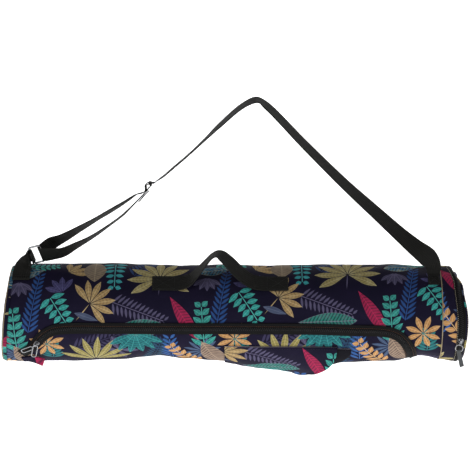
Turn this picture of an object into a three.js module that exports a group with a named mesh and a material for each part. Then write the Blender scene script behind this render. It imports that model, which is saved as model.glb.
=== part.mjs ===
// A yoga mat bag that hangs by its shoulder strap. Millimetres, +Z up, +X along the bag,
// -Y towards the side with the long zip. The origin is on top of the strap's crest.
import * as THREE from 'three';

// The bag's body.
const BAG_DIAMETER = 149;
const STRAP_DROP = 326; // from the strap's crest down to the bag's axis
const LEFT_REACH = 363; // from below the crest to the left rim
const MAIN_LENGTH = 649; // from the left rim to the right seam
const CLOTH = 2; // printed cloth with its lining
const LEFT_CORNER = 8; // rounding where the left panel turns into the side
const LEFT_SLANT = 7.2; // the left rim leans out by this much underneath
const LEFT_DOME = 4.5;
const BAND_LENGTH = 21.5; // printed band between the right seam and the round zip
const END_TAPE_WIDTH = 13.5;
const RIGHT_CORNER = 3.5;
const RIGHT_DOME = 2;

// The long zip.
const ZIP_WIDTH = 17;
const ZIP_TAPE = 1.1;
const ZIP_RIDGE_WIDTH = 5.5;
const ZIP_RIDGE = 1.3;
const SLIDER_LENGTH = 11;
const SLIDER_WIDTH = 8;
const SLIDER_HEIGHT = 3;
const PULL_LENGTH = 19.5;
const PULL_WIDTH = 8.5;
const PULL_WIRE = 1.7;

// Webbing and metal.
const STRAP_WIDTH = 30;
const STRAP_REACH_RIGHT = 275; // crest to the middle of the sewn end
const STRAP_REACH_LEFT = 313; // crest to the ring's bar
const WEBBING = 1.5;
const HANDLE_WIDTH = 26;
const HANDLE_RISE = 46;
const HANDLE_START = 146;
const HANDLE_SPAN = 203;
const TAB_WIDTH = 26;
const TAB_INSET = 21; // from the left rim to the middle of the tab
const RING_WIRE = 3;
const RING_LENGTH = 16.2;
const RING_PLAY = 4; // how much wider the ring is inside than the web
const GLIDE_LENGTH = 24;
const GLIDE_PLATE = 2;
const GLIDE_BAR = 3;
const SLOT_BOW = 1.2; // the slots' ends are slightly round
const END_PULL_LENGTH = 26;
const END_PULL_WIDTH = 7;
const END_PULL_THICKNESS = 2.4;
const END_RING_WIDTH = 11;
const CORNER_TAB_WIDTH = 13;
const CORNER_TAB_THICKNESS = 2.6;

// The side pocket.
const POCKET_START = 325; // from the left rim to the pocket's seam
const POCKET_LENGTH = 168;
const POCKET_CLOTH = 1.3;
const POCKET_GAPE = 13;

// What lies on the cloth keeps this much clear of it, for the facets of both.
const SEAT = 0.62;
const GAP = 0.3;
const SIDES = 36;

const RADIUS = BAG_DIAMETER / 2;
const DEGREE = Math.PI / 180;
const LEFT_RIM = -LEFT_REACH;
const SEAM = LEFT_RIM + MAIN_LENGTH;

// Sections of the bag: at is a share of the main length from the left rim, the rest are
// shares of the radius over the top, at the sides and underneath.
const SECTIONS = [
  { at: 0.0, top: 0.99, side: 1.0, under: 0.97 },
  { at: 0.05, top: 1.01, side: 1.0, under: 1.0 },
  { at: 0.12, top: 1.02, side: 1.0, under: 0.98 },
  { at: 0.23, top: 1.02, side: 1.0, under: 0.95 },
  { at: 0.35, top: 1.0, side: 1.01, under: 0.86 },
  { at: 0.41, top: 0.98, side: 1.01, under: 0.92 },
  { at: 0.49, top: 0.99, side: 1.0, under: 0.97 },
  { at: 0.59, top: 0.98, side: 0.99, under: 1.05 },
  { at: 0.7, top: 1.0, side: 0.99, under: 1.04 },
  { at: 0.83, top: 1.0, side: 1.0, under: 0.99 },
  { at: 0.89, top: 1.01, side: 1.0, under: 0.97 },
  { at: 0.955, top: 0.965, side: 1.01, under: 0.86 },
  { at: 1.0, top: 0.965, side: 1.0, under: 0.93 },
  { at: 1.04, top: 0.975, side: 1.0, under: 0.98 },
];

// Dents and swells of the cloth: around is in degrees from the top to the front, reach is
// a share of the main length, girth is in degrees, and swell is a share of the radius.
const FOLDS = [
  { at: 0.09, around: 150, reach: 0.035, girth: 28, swell: -0.035 },
  { at: 0.2, around: 62, reach: 0.06, girth: 26, swell: 0.014 },
  { at: 0.31, around: 128, reach: 0.05, girth: 22, swell: -0.022 },
  { at: 0.47, around: 70, reach: 0.07, girth: 30, swell: -0.014 },
  { at: 0.79, around: 128, reach: 0.045, girth: 24, swell: 0.018 },
  { at: 0.93, around: 60, reach: 0.035, girth: 30, swell: -0.02 },
  { at: 0.42, around: 245, reach: 0.09, girth: 34, swell: -0.03 },
  { at: 0.78, around: 262, reach: 0.08, girth: 30, swell: 0.02 },
];

// The right end, by angle from the top: shares of the band's and the tape's lengths, and
// how far the tape tips inwards, in degrees.
const RIGHT_END = [
  { around: 0, band: 0.47, tip: 48 },
  { around: 45, band: 0.82, tip: 27 },
  { around: 90, band: 1.0, tip: 6 },
  { around: 135, band: 0.95, tip: 17 },
  { around: 180, band: 0.9, tip: 12 },
];

/** The value of a column at a place between two rows, eased so that it stays smooth. */
function between(rows, key, place, column) {
  const last = rows.length - 1;
  if (place <= rows[0][key]) return rows[0][column];
  if (place >= rows[last][key]) return rows[last][column];
  const next = rows.findIndex((row) => row[key] > place);
  const low = rows[next - 1];
  const high = rows[next];
  const share = (place - low[key]) / (high[key] - low[key]);
  const eased = share * share * (3 - 2 * share);
  return low[column] + (high[column] - low[column]) * eased;
}

/** The shorter way round between two angles in degrees. */
function turnBetween(a, b) {
  return Math.abs(((((a - b) % 360) + 540) % 360) - 180);
}

/** The bag's outer radius at x and an angle from the top towards the front. */
function bagRadius(x, around) {
  const at = (x - LEFT_RIM) / MAIN_LENGTH;
  const rise = Math.cos(around * DEGREE);
  const top = rise > 0 ? rise * rise : 0;
  const under = rise < 0 ? rise * rise : 0;
  const share =
    top * between(SECTIONS, 'at', at, 'top') +
    under * between(SECTIONS, 'at', at, 'under') +
    (1 - rise * rise) * between(SECTIONS, 'at', at, 'side');
  const swell = FOLDS.reduce((sum, fold) => {
    const along = (at - fold.at) / fold.reach;
    const round = turnBetween(around, fold.around) / fold.girth;
    return sum + fold.swell * Math.exp(-along * along - round * round);
  }, 0);
  return RADIUS * (share + swell);
}

/** A point at x, an angle from the top towards the front, and a radius. */
function atRadius(x, around, radius) {
  const angle = around * DEGREE;
  return new THREE.Vector3(x, -radius * Math.sin(angle), radius * Math.cos(angle) - STRAP_DROP);
}

/** A point that stands above the bag's cloth by lift. */
function onBag(x, around, lift) {
  return atRadius(x, around, bagRadius(x, around) + lift);
}

/** The direction round the bag, from the top towards the front. */
function roundBag(around) {
  return new THREE.Vector3(0, -Math.cos(around * DEGREE), -Math.sin(around * DEGREE));
}

/** The direction straight out of the bag. */
function outOfBag(around) {
  return new THREE.Vector3(0, -Math.sin(around * DEGREE), Math.cos(around * DEGREE));
}

/** Moves each corner of a geometry, and turns its faces if that put them inside out. */
function bend(geometry, place) {
  const corners = geometry.attributes.position;
  const corner = new THREE.Vector3();
  for (let i = 0; i < corners.count; i += 1) {
    corner.fromBufferAttribute(corners, i);
    const moved = place(corner);
    corners.setXYZ(i, moved.x, moved.y, moved.z);
  }
  if (enclosed(geometry) < 0) turnFaces(geometry);
  geometry.computeVertexNormals();
  return geometry;
}

/** The volume that an indexed closed mesh holds, below zero if it is inside out. */
function enclosed(geometry) {
  const corners = geometry.attributes.position;
  const index = geometry.index;
  const [a, b, c] = [new THREE.Vector3(), new THREE.Vector3(), new THREE.Vector3()];
  let volume = 0;
  for (let i = 0; i < index.count; i += 3) {
    a.fromBufferAttribute(corners, index.getX(i));
    b.fromBufferAttribute(corners, index.getX(i + 1));
    c.fromBufferAttribute(corners, index.getX(i + 2));
    volume += a.dot(b.cross(c)) / 6;
  }
  return volume;
}

/** Turns every face of an indexed mesh over. */
function turnFaces(geometry) {
  const index = geometry.index;
  for (let i = 0; i < index.count; i += 3) {
    const second = index.getX(i + 1);
    index.setX(i + 1, index.getX(i + 2));
    index.setX(i + 2, second);
  }
}

/**
 * A ring of cloth round the bag. Its profile is a list of rows from one edge to the other;
 * place gives the corner for a row, an angle and a depth below the cloth's face.
 */
function clothRing(rows, thickness, place) {
  const outer = rows.map((row, i) => new THREE.Vector2(2, i));
  const inner = rows.map((row, i) => new THREE.Vector2(1, i)).reverse();
  const profile = [...outer, ...inner, outer[0].clone()];
  const ring = new THREE.LatheGeometry(profile, SIDES);
  return bend(ring, (corner) => {
    const around = Math.atan2(corner.x, corner.z) / DEGREE;
    const depth = Math.hypot(corner.x, corner.z) > 1.5 ? 0 : thickness;
    return place(rows[Math.round(corner.y)], around, depth);
  });
}

/** A disc of cloth that closes an end: rows run from its rim to its middle. */
function clothDisc(rows, place) {
  const face = rows.map((row, i) => new THREE.Vector2(rows.length - 1 - i, 1));
  const back = rows.map((row, i) => new THREE.Vector2(rows.length - 1 - i, 0)).reverse();
  const disc = new THREE.LatheGeometry([...back, ...face, back[0].clone()], SIDES);
  return bend(disc, (corner) => {
    const around = Math.atan2(corner.x, corner.z) / DEGREE;
    const row = rows[rows.length - 1 - Math.round(Math.hypot(corner.x, corner.z))];
    return place(row, around, corner.y > 0.5 ? 0 : 1);
  });
}

/** Evenly spaced numbers from one end to the other. */
function steps(from, to, count) {
  return Array.from({ length: count + 1 }, (unused, i) => from + ((to - from) * i) / count);
}

/** Where the left panel's rim lies at an angle. */
function leftRim(around) {
  return LEFT_RIM + LEFT_SLANT * Math.cos(around * DEGREE);
}

/** The right end's rows say the same for the back as for the front. */
function rightEnd(around, column) {
  return between(RIGHT_END, 'around', turnBetween(around, 0), column);
}

/** Where the printed band ends and the round zip starts. */
function bandEdge(around) {
  return SEAM + BAND_LENGTH * rightEnd(around, 'band');
}

/** The round zip's outer face, by a share of its width. */
function onEndTape(around, share) {
  const tip = rightEnd(around, 'tip') * DEGREE;
  const start = bandEdge(around);
  const x = start + END_TAPE_WIDTH * share * Math.cos(tip * share);
  const radius = bagRadius(start, around) - END_TAPE_WIDTH * share * Math.sin(tip * share);
  return { x, radius };
}

/** The main tube of printed cloth, open at both ends. */
function bodyTube() {
  const rows = [...steps(0, 0.84, 18), ...steps(0.86, 1, 7)];
  return clothRing(rows, CLOTH, (share, around, depth) => {
    const start = leftRim(around) + LEFT_CORNER + GAP;
    const x = start + (SEAM - start) * share;
    return onBag(x, around, -depth);
  });
}

/** The printed band beyond the right seam. */
function endBand() {
  return clothRing(steps(0, 1, 3), CLOTH, (share, around, depth) => {
    const start = SEAM + GAP;
    const x = start + (bandEdge(around) - start) * share;
    return onBag(x, around, -depth);
  });
}

/** The round zip: tape with a raised row of teeth along its middle. */
function endZip() {
  const rows = [
    { share: 0.02, ridge: 0 },
    { share: 0.36, ridge: 0 },
    { share: 0.42, ridge: 1 },
    { share: 0.58, ridge: 1 },
    { share: 0.64, ridge: 0 },
    { share: 1.0, ridge: 0 },
  ];
  return clothRing(rows, CLOTH, (row, around, depth) => {
    const face = onEndTape(around, row.share);
    const lift = depth > 0 ? -depth : row.ridge * ZIP_RIDGE;
    const clear = row.share > 0.5 ? 0 : GAP;
    return atRadius(face.x + clear, around, face.radius + lift);
  });
}

/** The panel that closes the left end, rounded at its rim and slightly domed. */
function leftPanel() {
  const corner = steps(0, 90, 3).map((angle) => ({
    out: 1 - Math.sin(angle * DEGREE),
    in: 1 - Math.cos(angle * DEGREE),
    dome: 0,
  }));
  const face = [0.72, 0.42, 0].map((spread) => ({ out: 0, spread, dome: 1 - spread * spread }));
  return clothDisc([...corner, ...face], (row, around, back) => {
    const rim = bagRadius(leftRim(around) + LEFT_CORNER, around);
    const wide = rim - LEFT_CORNER;
    const radius = row.spread === undefined ? rim - LEFT_CORNER * row.in : wide * row.spread;
    const x = leftRim(around) * Math.min(radius / wide, 1) + LEFT_RIM * (1 - Math.min(radius / wide, 1));
    const turned = row.spread === undefined ? 1 - row.in : 0;
    const place = x + LEFT_CORNER * row.out - LEFT_DOME * row.dome;
    const sunk = radius - back * CLOTH * turned;
    return atRadius(place + back * CLOTH * (1 - turned), around, Math.max(sunk, 0));
  });
}

/** The round flap that the end zip holds. */
function rightCap() {
  const corner = steps(0, 90, 2).map((angle) => ({
    out: Math.sin(angle * DEGREE),
    in: 1 - Math.cos(angle * DEGREE),
  }));
  const face = [0.75, 0.42, 0].map((spread) => ({ out: 1, spread, dome: 1 - spread * spread }));
  return clothDisc([...corner, ...face], (row, around, back) => {
    const seat = onEndTape(around, 1);
    const wide = seat.radius - RIGHT_CORNER;
    const radius = row.spread === undefined ? seat.radius - RIGHT_CORNER * row.in : wide * row.spread;
    const level = SEAM + BAND_LENGTH + END_TAPE_WIDTH;
    const near = row.spread === undefined ? 1 : row.spread;
    const rim = seat.x * near + level * (1 - near);
    const turned = row.spread === undefined ? 1 - row.in : 0;
    const dome = row.spread === undefined ? 0 : RIGHT_DOME * row.dome;
    const place = rim + GAP + RIGHT_CORNER * row.out + dome;
    const sunk = radius - back * CLOTH * turned;
    return atRadius(place - back * CLOTH * (1 - turned), around, Math.max(sunk, 0));
  });
}

// The long zip's middle line: at is a share of the main length, around is in degrees.
const ZIP_LINE = [
  { at: 0.032, around: 132 },
  { at: 0.052, around: 124 },
  { at: 0.069, around: 114 },
  { at: 0.088, around: 103.5 },
  { at: 0.108, around: 98 },
  { at: 0.14, around: 95.5 },
  { at: 0.24, around: 95.5 },
  { at: 0.4, around: 95.7 },
  { at: 0.56, around: 96 },
  { at: 0.7, around: 96.5 },
  { at: 0.8, around: 98 },
  { at: 0.862, around: 99 },
  { at: 0.893, around: 103 },
  { at: 0.913, around: 111.5 },
  { at: 0.926, around: 124 },
  { at: 0.932, around: 137 },
  { at: 0.934, around: 149 },
];

/** The long zip's middle line rolled out flat: x along the bag, y round it in mm. */
const zipCurve = new THREE.CatmullRomCurve3(
  ZIP_LINE.map((row) => {
    const x = LEFT_RIM + MAIN_LENGTH * row.at;
    return new THREE.Vector3(x, row.around * DEGREE * RADIUS, 0);
  }),
  false,
  'centripetal',
);

/** A place on the long zip by its share of the length and millimetres to the side. */
function onZip(share, side, lift) {
  const middle = zipCurve.getPoint(share);
  const along = zipCurve.getTangent(share);
  const x = middle.x - along.y * side;
  const around = (middle.y + along.x * side) / RADIUS / DEGREE;
  return onBag(x, around, lift);
}

/** The long zip: two tapes and the raised row of closed teeth, as one piece. */
function mainZip() {
  const half = ZIP_WIDTH / 2;
  const ridge = ZIP_RIDGE_WIDTH / 2;
  const sides = [-half, -ridge - 0.8, -ridge + 0.2, ridge - 0.2, ridge + 0.8, half];
  const lengths = 36;
  const strip = new THREE.BoxGeometry(1, 1, 1, lengths, sides.length - 1, 1);
  return bend(strip, (corner) => {
    const column = Math.round((corner.y + 0.5) * (sides.length - 1));
    const raised = column === 2 || column === 3 ? ZIP_RIDGE : 0;
    const lift = corner.z < 0 ? SEAT : SEAT + ZIP_TAPE + raised;
    return onZip(corner.x + 0.5, sides[column], lift);
  });
}

/** The pocket's cloth: it lies on the bag at three seams and gapes at its right end. */
function pocketPatch() {
  const topSeam = 119;
  const bottomSeam = 214;
  const rows = 12;
  const columns = 12;
  const sheet = new THREE.BoxGeometry(1, 1, 1, columns, rows, 1);
  const start = LEFT_RIM + POCKET_START;
  return bend(sheet, (corner) => {
    const down = corner.y + 0.5;
    const share = corner.x + 0.5;
    const mouth = 1 - 0.3 * Math.sin(Math.PI * Math.min(1, down * 1.25));
    const x = start + POCKET_LENGTH * mouth * share;
    const around = topSeam + (bottomSeam - topSeam) * down;
    const open = Math.pow(share, 2.2) * Math.pow(Math.sin(Math.PI * down), 0.8);
    const full = 0.18 * Math.sin(Math.PI * down) * Math.sin(Math.PI * Math.min(1, share * 1.6));
    const lift = SEAT + GAP + POCKET_GAPE * (open + full * (1 - share)) + (corner.z < 0 ? 0 : POCKET_CLOTH);
    return onBag(x, around, lift);
  });
}

/**
 * A length of flat webbing. Each key has a centre, the direction across the web and, where
 * it is folded narrower, a share of the width; the web runs smoothly through the keys.
 */
function webbing(keys, width, thickness, perKey = 3) {
  const centres = new THREE.CatmullRomCurve3(keys.map((key) => key.centre), false, 'centripetal');
  const acrosses = new THREE.CatmullRomCurve3(keys.map((key) => key.across), false, 'catmullrom', 0.4);
  const count = (keys.length - 1) * perKey;
  const frames = steps(0, 1, count).map((share) => {
    const along = centres.getTangent(share);
    const across = acrosses.getPoint(share);
    across.addScaledVector(along, -across.dot(along)).normalize();
    const through = new THREE.Vector3().crossVectors(along, across);
    const key = share * (keys.length - 1);
    const low = keys[Math.floor(key)].share ?? 1;
    const high = keys[Math.ceil(key)].share ?? 1;
    const wide = width * (low + (high - low) * (key - Math.floor(key)));
    return { centre: centres.getPoint(share), across, through, wide };
  });
  const strip = new THREE.BoxGeometry(1, 1, 1, count, 1, 1);
  return bend(strip, (corner) => {
    const frame = frames[Math.round((corner.x + 0.5) * count)];
    return frame.centre
      .clone()
      .addScaledVector(frame.across, corner.y * frame.wide)
      .addScaledVector(frame.through, corner.z * thickness);
  });
}

/** The direction across a free strap, turned from the upright plane towards the back. */
function turned(along, degrees) {
  const depth = new THREE.Vector3(0, 1, 0);
  const upright = new THREE.Vector3().crossVectors(depth, along).normalize();
  return upright.multiplyScalar(Math.cos(degrees * DEGREE)).addScaledVector(depth, Math.sin(degrees * DEGREE));
}

/** The keys of a strand, from rows of shares of a run, a drop and the bag's radius. */
function strand(rows, run) {
  const centres = rows.map(
    (row) => new THREE.Vector3(row.run * run, -row.lean * RADIUS, -row.drop * STRAP_DROP - WEBBING / 2),
  );
  return rows.map((row, i) => {
    const before = centres[Math.max(i - 1, 0)];
    const after = centres[Math.min(i + 1, rows.length - 1)];
    const along = after.clone().sub(before).normalize();
    return { centre: centres[i], across: turned(along, row.turn), share: row.share };
  });
}

// The strap from its bend above the right sewn end, over the crest, to the tri-glide.
const RIGHT_STRAND = [
  { run: 0.998, drop: 0.752, lean: 0.4, turn: 4, share: 0.78 },
  { run: 0.97, drop: 0.718, lean: 0.38, turn: 16, share: 1 },
  { run: 0.904, drop: 0.674, lean: 0.36, turn: 38 },
  { run: 0.817, drop: 0.612, lean: 0.32, turn: 50 },
  { run: 0.686, drop: 0.513, lean: 0.27, turn: 58 },
  { run: 0.512, drop: 0.381, lean: 0.19, turn: 65 },
  { run: 0.293, drop: 0.215, lean: 0.11, turn: 70 },
  { run: 0.076, drop: 0.038, lean: 0.01, turn: 74 },
];
const LEFT_STRAND = [
  { run: -0.02, drop: 0.0, lean: 0.0, turn: 79 },
  { run: -0.067, drop: 0.038, lean: 0.01, turn: 84 },
  { run: -0.143, drop: 0.115, lean: 0.03, turn: 83 },
  { run: -0.219, drop: 0.185, lean: 0.05, turn: 89 },
  { run: -0.296, drop: 0.253, lean: 0.08, turn: 95 },
  { run: -0.373, drop: 0.316, lean: 0.1, turn: 96 },
  { run: -0.415, drop: 0.35, lean: 0.12, turn: 94 },
];
// From the tri-glide down to the ring, and the slack return from the ring.
const UPPER_STRAND = [
  { run: -0.545, drop: 0.434, lean: 0.11, turn: 96 },
  { run: -0.59, drop: 0.463, lean: 0.1, turn: 98 },
  { run: -0.66, drop: 0.506, lean: 0.07, turn: 102 },
  { run: -0.74, drop: 0.552, lean: 0.05, turn: 107 },
  { run: -0.82, drop: 0.597, lean: 0.03, turn: 113 },
  { run: -0.9, drop: 0.641, lean: 0.01, turn: 122 },
  { run: -0.955, drop: 0.666, lean: 0.02, turn: 134 },
];
const LOWER_STRAND = [
  { run: -0.955, drop: 0.708, lean: 0.22, turn: 44 },
  { run: -0.905, drop: 0.703, lean: 0.2, turn: 54 },
  { run: -0.84, drop: 0.672, lean: 0.18, turn: 65 },
  { run: -0.76, drop: 0.631, lean: 0.16, turn: 76 },
  { run: -0.68, drop: 0.579, lean: 0.15, turn: 84 },
  { run: -0.61, drop: 0.529, lean: 0.15, turn: 86 },
  { run: -0.562, drop: 0.484, lean: 0.14, turn: 85 },
];

// The ring's bars lie along this direction, across the web; its length points to the strap.
const RING_ALONG = new THREE.Vector3(0.97, 0, 0.24).normalize();
const RING_ACROSS = new THREE.Vector3(-0.1, 0.62, -0.78);
RING_ACROSS.addScaledVector(RING_ALONG, -RING_ACROSS.dot(RING_ALONG)).normalize();
const RING_OUT = new THREE.Vector3().crossVectors(RING_ALONG, RING_ACROSS);
// The ring lies above the bag's shoulder, so its height follows from the bag's.
const STRAP_BAR = new THREE.Vector3(-STRAP_REACH_LEFT, -0.17 * RADIUS, 1.278 * RADIUS - STRAP_DROP);
const TAB_BAR = STRAP_BAR.clone().addScaledVector(RING_ALONG, -RING_LENGTH);
const BAR_LOOP = RING_WIRE / 2 + 2 * GAP + WEBBING / 2;

/** Keys round a bar, as angles from the ring's length towards its outer face. */
function roundBar(bar, radius, angles) {
  return angles.map((angle) => ({
    centre: bar
      .clone()
      .addScaledVector(RING_ALONG, radius * Math.cos(angle * DEGREE))
      .addScaledVector(RING_OUT, radius * Math.sin(angle * DEGREE)),
    across: RING_ACROSS.clone(),
  }));
}

/** A key beside a bar, where the web runs straight off from an angle of its loop. */
function offBar(bar, radius, angle, distance) {
  const [key] = roundBar(bar, radius, [angle]);
  key.centre.addScaledVector(RING_ALONG, -distance * Math.sin(angle * DEGREE));
  key.centre.addScaledVector(RING_OUT, distance * Math.cos(angle * DEGREE));
  return key;
}

// The tri-glide's frame: along the strap, across it, and out of its face.
const GLIDE_CENTRE = new THREE.Vector3(
  -0.483 * STRAP_REACH_LEFT,
  -0.13 * RADIUS,
  -0.394 * STRAP_DROP,
);
const GLIDE_ALONG = new THREE.Vector3(-0.76, -0.04, -0.65).normalize();
const GLIDE_ACROSS = turned(GLIDE_ALONG, 95);
GLIDE_ACROSS.addScaledVector(GLIDE_ALONG, -GLIDE_ACROSS.dot(GLIDE_ALONG)).normalize();
const GLIDE_OUT = new THREE.Vector3().crossVectors(GLIDE_ACROSS, GLIDE_ALONG);
const GLIDE_LAYER = GLIDE_PLATE / 2 + 1.5 * GAP + WEBBING / 2;

/** Keys in the tri-glide's frame: millimetres along the strap and out of its face. */
function inGlide(rows) {
  return rows.map(([along, out]) => ({
    centre: GLIDE_CENTRE.clone().addScaledVector(GLIDE_ALONG, along).addScaledVector(GLIDE_OUT, out),
    across: GLIDE_ACROSS.clone(),
  }));
}

/** The shoulder strap: one web from its sewn end, through the tri-glide and the ring, and back. */
function shoulderStrap() {
  const sewn = [43, 34, 27].map((around) => ({
    centre: onBag(STRAP_REACH_RIGHT, around, SEAT + GAP + WEBBING / 2),
    across: new THREE.Vector3(1, 0, 0),
    share: 0.6,
  }));
  const under = -GLIDE_LAYER;
  const over = GLIDE_LAYER + WEBBING + GAP;
  const reach = GLIDE_LENGTH / 2;
  const through = inGlide([
    [-reach - 1, under],
    [-reach + GLIDE_BAR + 0.3, under],
    [-reach / 2, 0.5],
    [-reach / 4 - 0.2, over],
    [reach / 4 + 0.2, over],
    [reach / 2, 0.5],
    [reach - GLIDE_BAR - 0.3, under],
    [reach + 1, under],
  ]);
  const bar = GLIDE_BAR / 2 + GAP + WEBBING / 2;
  const below = under - WEBBING - GAP;
  const back = inGlide([
    [reach + 1, below - 0.4],
    [reach - GLIDE_BAR - 0.3, below],
    [reach / 2, below + 0.6],
    [1, under],
    [-bar + 1, under],
    [-bar, under * 0.65],
    [-bar - 0.15, 0],
    [-bar, -under * 0.65],
    [-bar + 1, -under],
    [0.8, -under],
  ]);
  const keys = [
    ...sewn,
    ...strand(RIGHT_STRAND, STRAP_REACH_RIGHT),
    ...strand(LEFT_STRAND, STRAP_REACH_LEFT),
    ...through,
    ...strand(UPPER_STRAND, STRAP_REACH_LEFT),
    offBar(STRAP_BAR, BAR_LOOP, 131, -4),
    ...roundBar(STRAP_BAR, BAR_LOOP, [131, 150, 168, 186, 204, 225, 246]),
    offBar(STRAP_BAR, BAR_LOOP, 246, 4),
    ...strand(LOWER_STRAND, STRAP_REACH_LEFT),
    ...back,
  ];
  return webbing(keys, STRAP_WIDTH, WEBBING, 2);
}

/** A closed loop of round wire in a plane: a rectangle with round corners. */
function wireLoop(length, width, corner, wire, frame, along = 28) {
  const loop = new THREE.TorusGeometry(10, 1, 6, along);
  const halfLength = length / 2 - corner;
  const halfWidth = width / 2 - corner;
  return bend(loop, (point) => {
    const angle = Math.atan2(point.y, point.x);
    const ring = Math.hypot(point.x, point.y) - 10;
    const out = new THREE.Vector2(Math.cos(angle), Math.sin(angle));
    const radius = corner + (ring * wire) / 2;
    const a = Math.sign(Math.round(out.x * 1e6)) * halfLength + out.x * radius;
    const b = Math.sign(Math.round(out.y * 1e6)) * halfWidth + out.y * radius;
    return frame.centre
      .clone()
      .addScaledVector(frame.along, a)
      .addScaledVector(frame.across, b)
      .addScaledVector(frame.out, (point.z * wire) / 2);
  });
}

/** The rectangular ring between the tab and the strap. */
function strapRing() {
  const centre = STRAP_BAR.clone().add(TAB_BAR).multiplyScalar(0.5);
  const frame = { centre, along: RING_ALONG, across: RING_ACROSS, out: RING_OUT };
  return wireLoop(RING_LENGTH, STRAP_WIDTH + RING_WIRE + RING_PLAY, RING_WIRE, RING_WIRE, frame, 32);
}

// The webbing tab runs from its seam on the bag to the ring's bar, turning on its way.
const TAB_FLAT = SEAT + GAP + WEBBING + GAP / 2; // its two layers lie on each other
const TAB_START = onBag(LEFT_RIM + TAB_INSET, 26, TAB_FLAT + 3 * WEBBING);
const TAB_FREE = TAB_BAR.clone().sub(TAB_START);
const TAB_LINE = TAB_FREE.clone().normalize();
const LOOP_TAIL = 6.5; // the loop's two ends reach this far back from the bar

/** The webbing tab on the left end: both layers as one, as they are sewn together. */
function ringTab() {
  const level = new THREE.Vector3(1, 0, 0);
  const sewn = (around) => ({ centre: onBag(LEFT_RIM + TAB_INSET, around, TAB_FLAT), across: level });
  const free = (share, twist, wide) => {
    const across = level.clone().lerp(RING_ACROSS, twist);
    across.addScaledVector(TAB_LINE, -across.dot(TAB_LINE)).normalize();
    return { centre: TAB_START.clone().addScaledVector(TAB_FREE, share), across, share: wide };
  };
  const end = 1 - (LOOP_TAIL + 4 * GAP) / TAB_FREE.length();
  const keys = [
    sewn(37),
    sewn(31),
    free(0.14, 0.05, 0.98),
    free(0.36, 0.33, 0.95),
    free(0.56, 0.75, 0.92),
    free(end, 1, 0.9),
  ];
  return webbing(keys, TAB_WIDTH, 2 * WEBBING + GAP, 3);
}

/** The tab's loop, which goes on round the ring's bar. */
function tabLoop() {
  const heading = Math.atan2(TAB_LINE.dot(RING_OUT), TAB_LINE.dot(RING_ALONG)) / DEGREE;
  const keys = [
    offBar(TAB_BAR, BAR_LOOP, heading - 90, -LOOP_TAIL),
    ...roundBar(TAB_BAR, BAR_LOOP, [-90, -60, -30, 0, 30, 60, 90].map((angle) => heading + angle)),
    offBar(TAB_BAR, BAR_LOOP, heading + 90, LOOP_TAIL),
  ];
  return webbing(keys.map((key) => ({ ...key, share: 0.9 })), TAB_WIDTH, WEBBING, 2);
}

/** The strap's end beyond the tri-glide's middle bar, sewn back under the slack strand. */
function strapTail() {
  const under = -GLIDE_LAYER;
  const layer = WEBBING + GAP;
  const keys = inGlide([
    [6, under - layer * 2.1],
    [10, under - layer * 2.3],
    [14, under - layer * 2.4],
    [20, under - layer * 2.9],
    [27, under - layer * 3.5],
  ]);
  return webbing(keys, STRAP_WIDTH, WEBBING, 2);
}

/** The tri-glide: a flat metal frame with a bar across its middle. */
function triGlide() {
  const halfLength = GLIDE_LENGTH / 2;
  const halfWidth = STRAP_WIDTH / 2 + 1 + GLIDE_BAR;
  const outline = new THREE.Shape();
  outline.moveTo(-halfLength, -halfWidth);
  outline.lineTo(halfLength, -halfWidth);
  outline.lineTo(halfLength, halfWidth);
  outline.lineTo(-halfLength, halfWidth);
  const slotWidth = STRAP_WIDTH / 2 + 1;
  [-1, 1].forEach((side) => {
    const near = (side * GLIDE_BAR) / 2;
    const far = side * (halfLength - GLIDE_BAR);
    const slot = new THREE.Path();
    const middle = (near + far) / 2;
    slot.moveTo(near, -slotWidth);
    slot.quadraticCurveTo(middle, -slotWidth - SLOT_BOW, far, -slotWidth);
    slot.lineTo(far, slotWidth);
    slot.quadraticCurveTo(middle, slotWidth + SLOT_BOW, near, slotWidth);
    slot.lineTo(near, -slotWidth);
    outline.holes.push(slot);
  });
  const options = { depth: GLIDE_PLATE, bevelEnabled: false, curveSegments: 4 };
  const plate = new THREE.ExtrudeGeometry(outline, options);
  plate.translate(0, 0, -GLIDE_PLATE / 2);
  const turn = new THREE.Matrix4().makeBasis(GLIDE_ALONG, GLIDE_ACROSS.clone().negate(), GLIDE_OUT);
  plate.applyMatrix4(turn);
  plate.translate(GLIDE_CENTRE.x, GLIDE_CENTRE.y, GLIDE_CENTRE.z);
  return plate;
}

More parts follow.
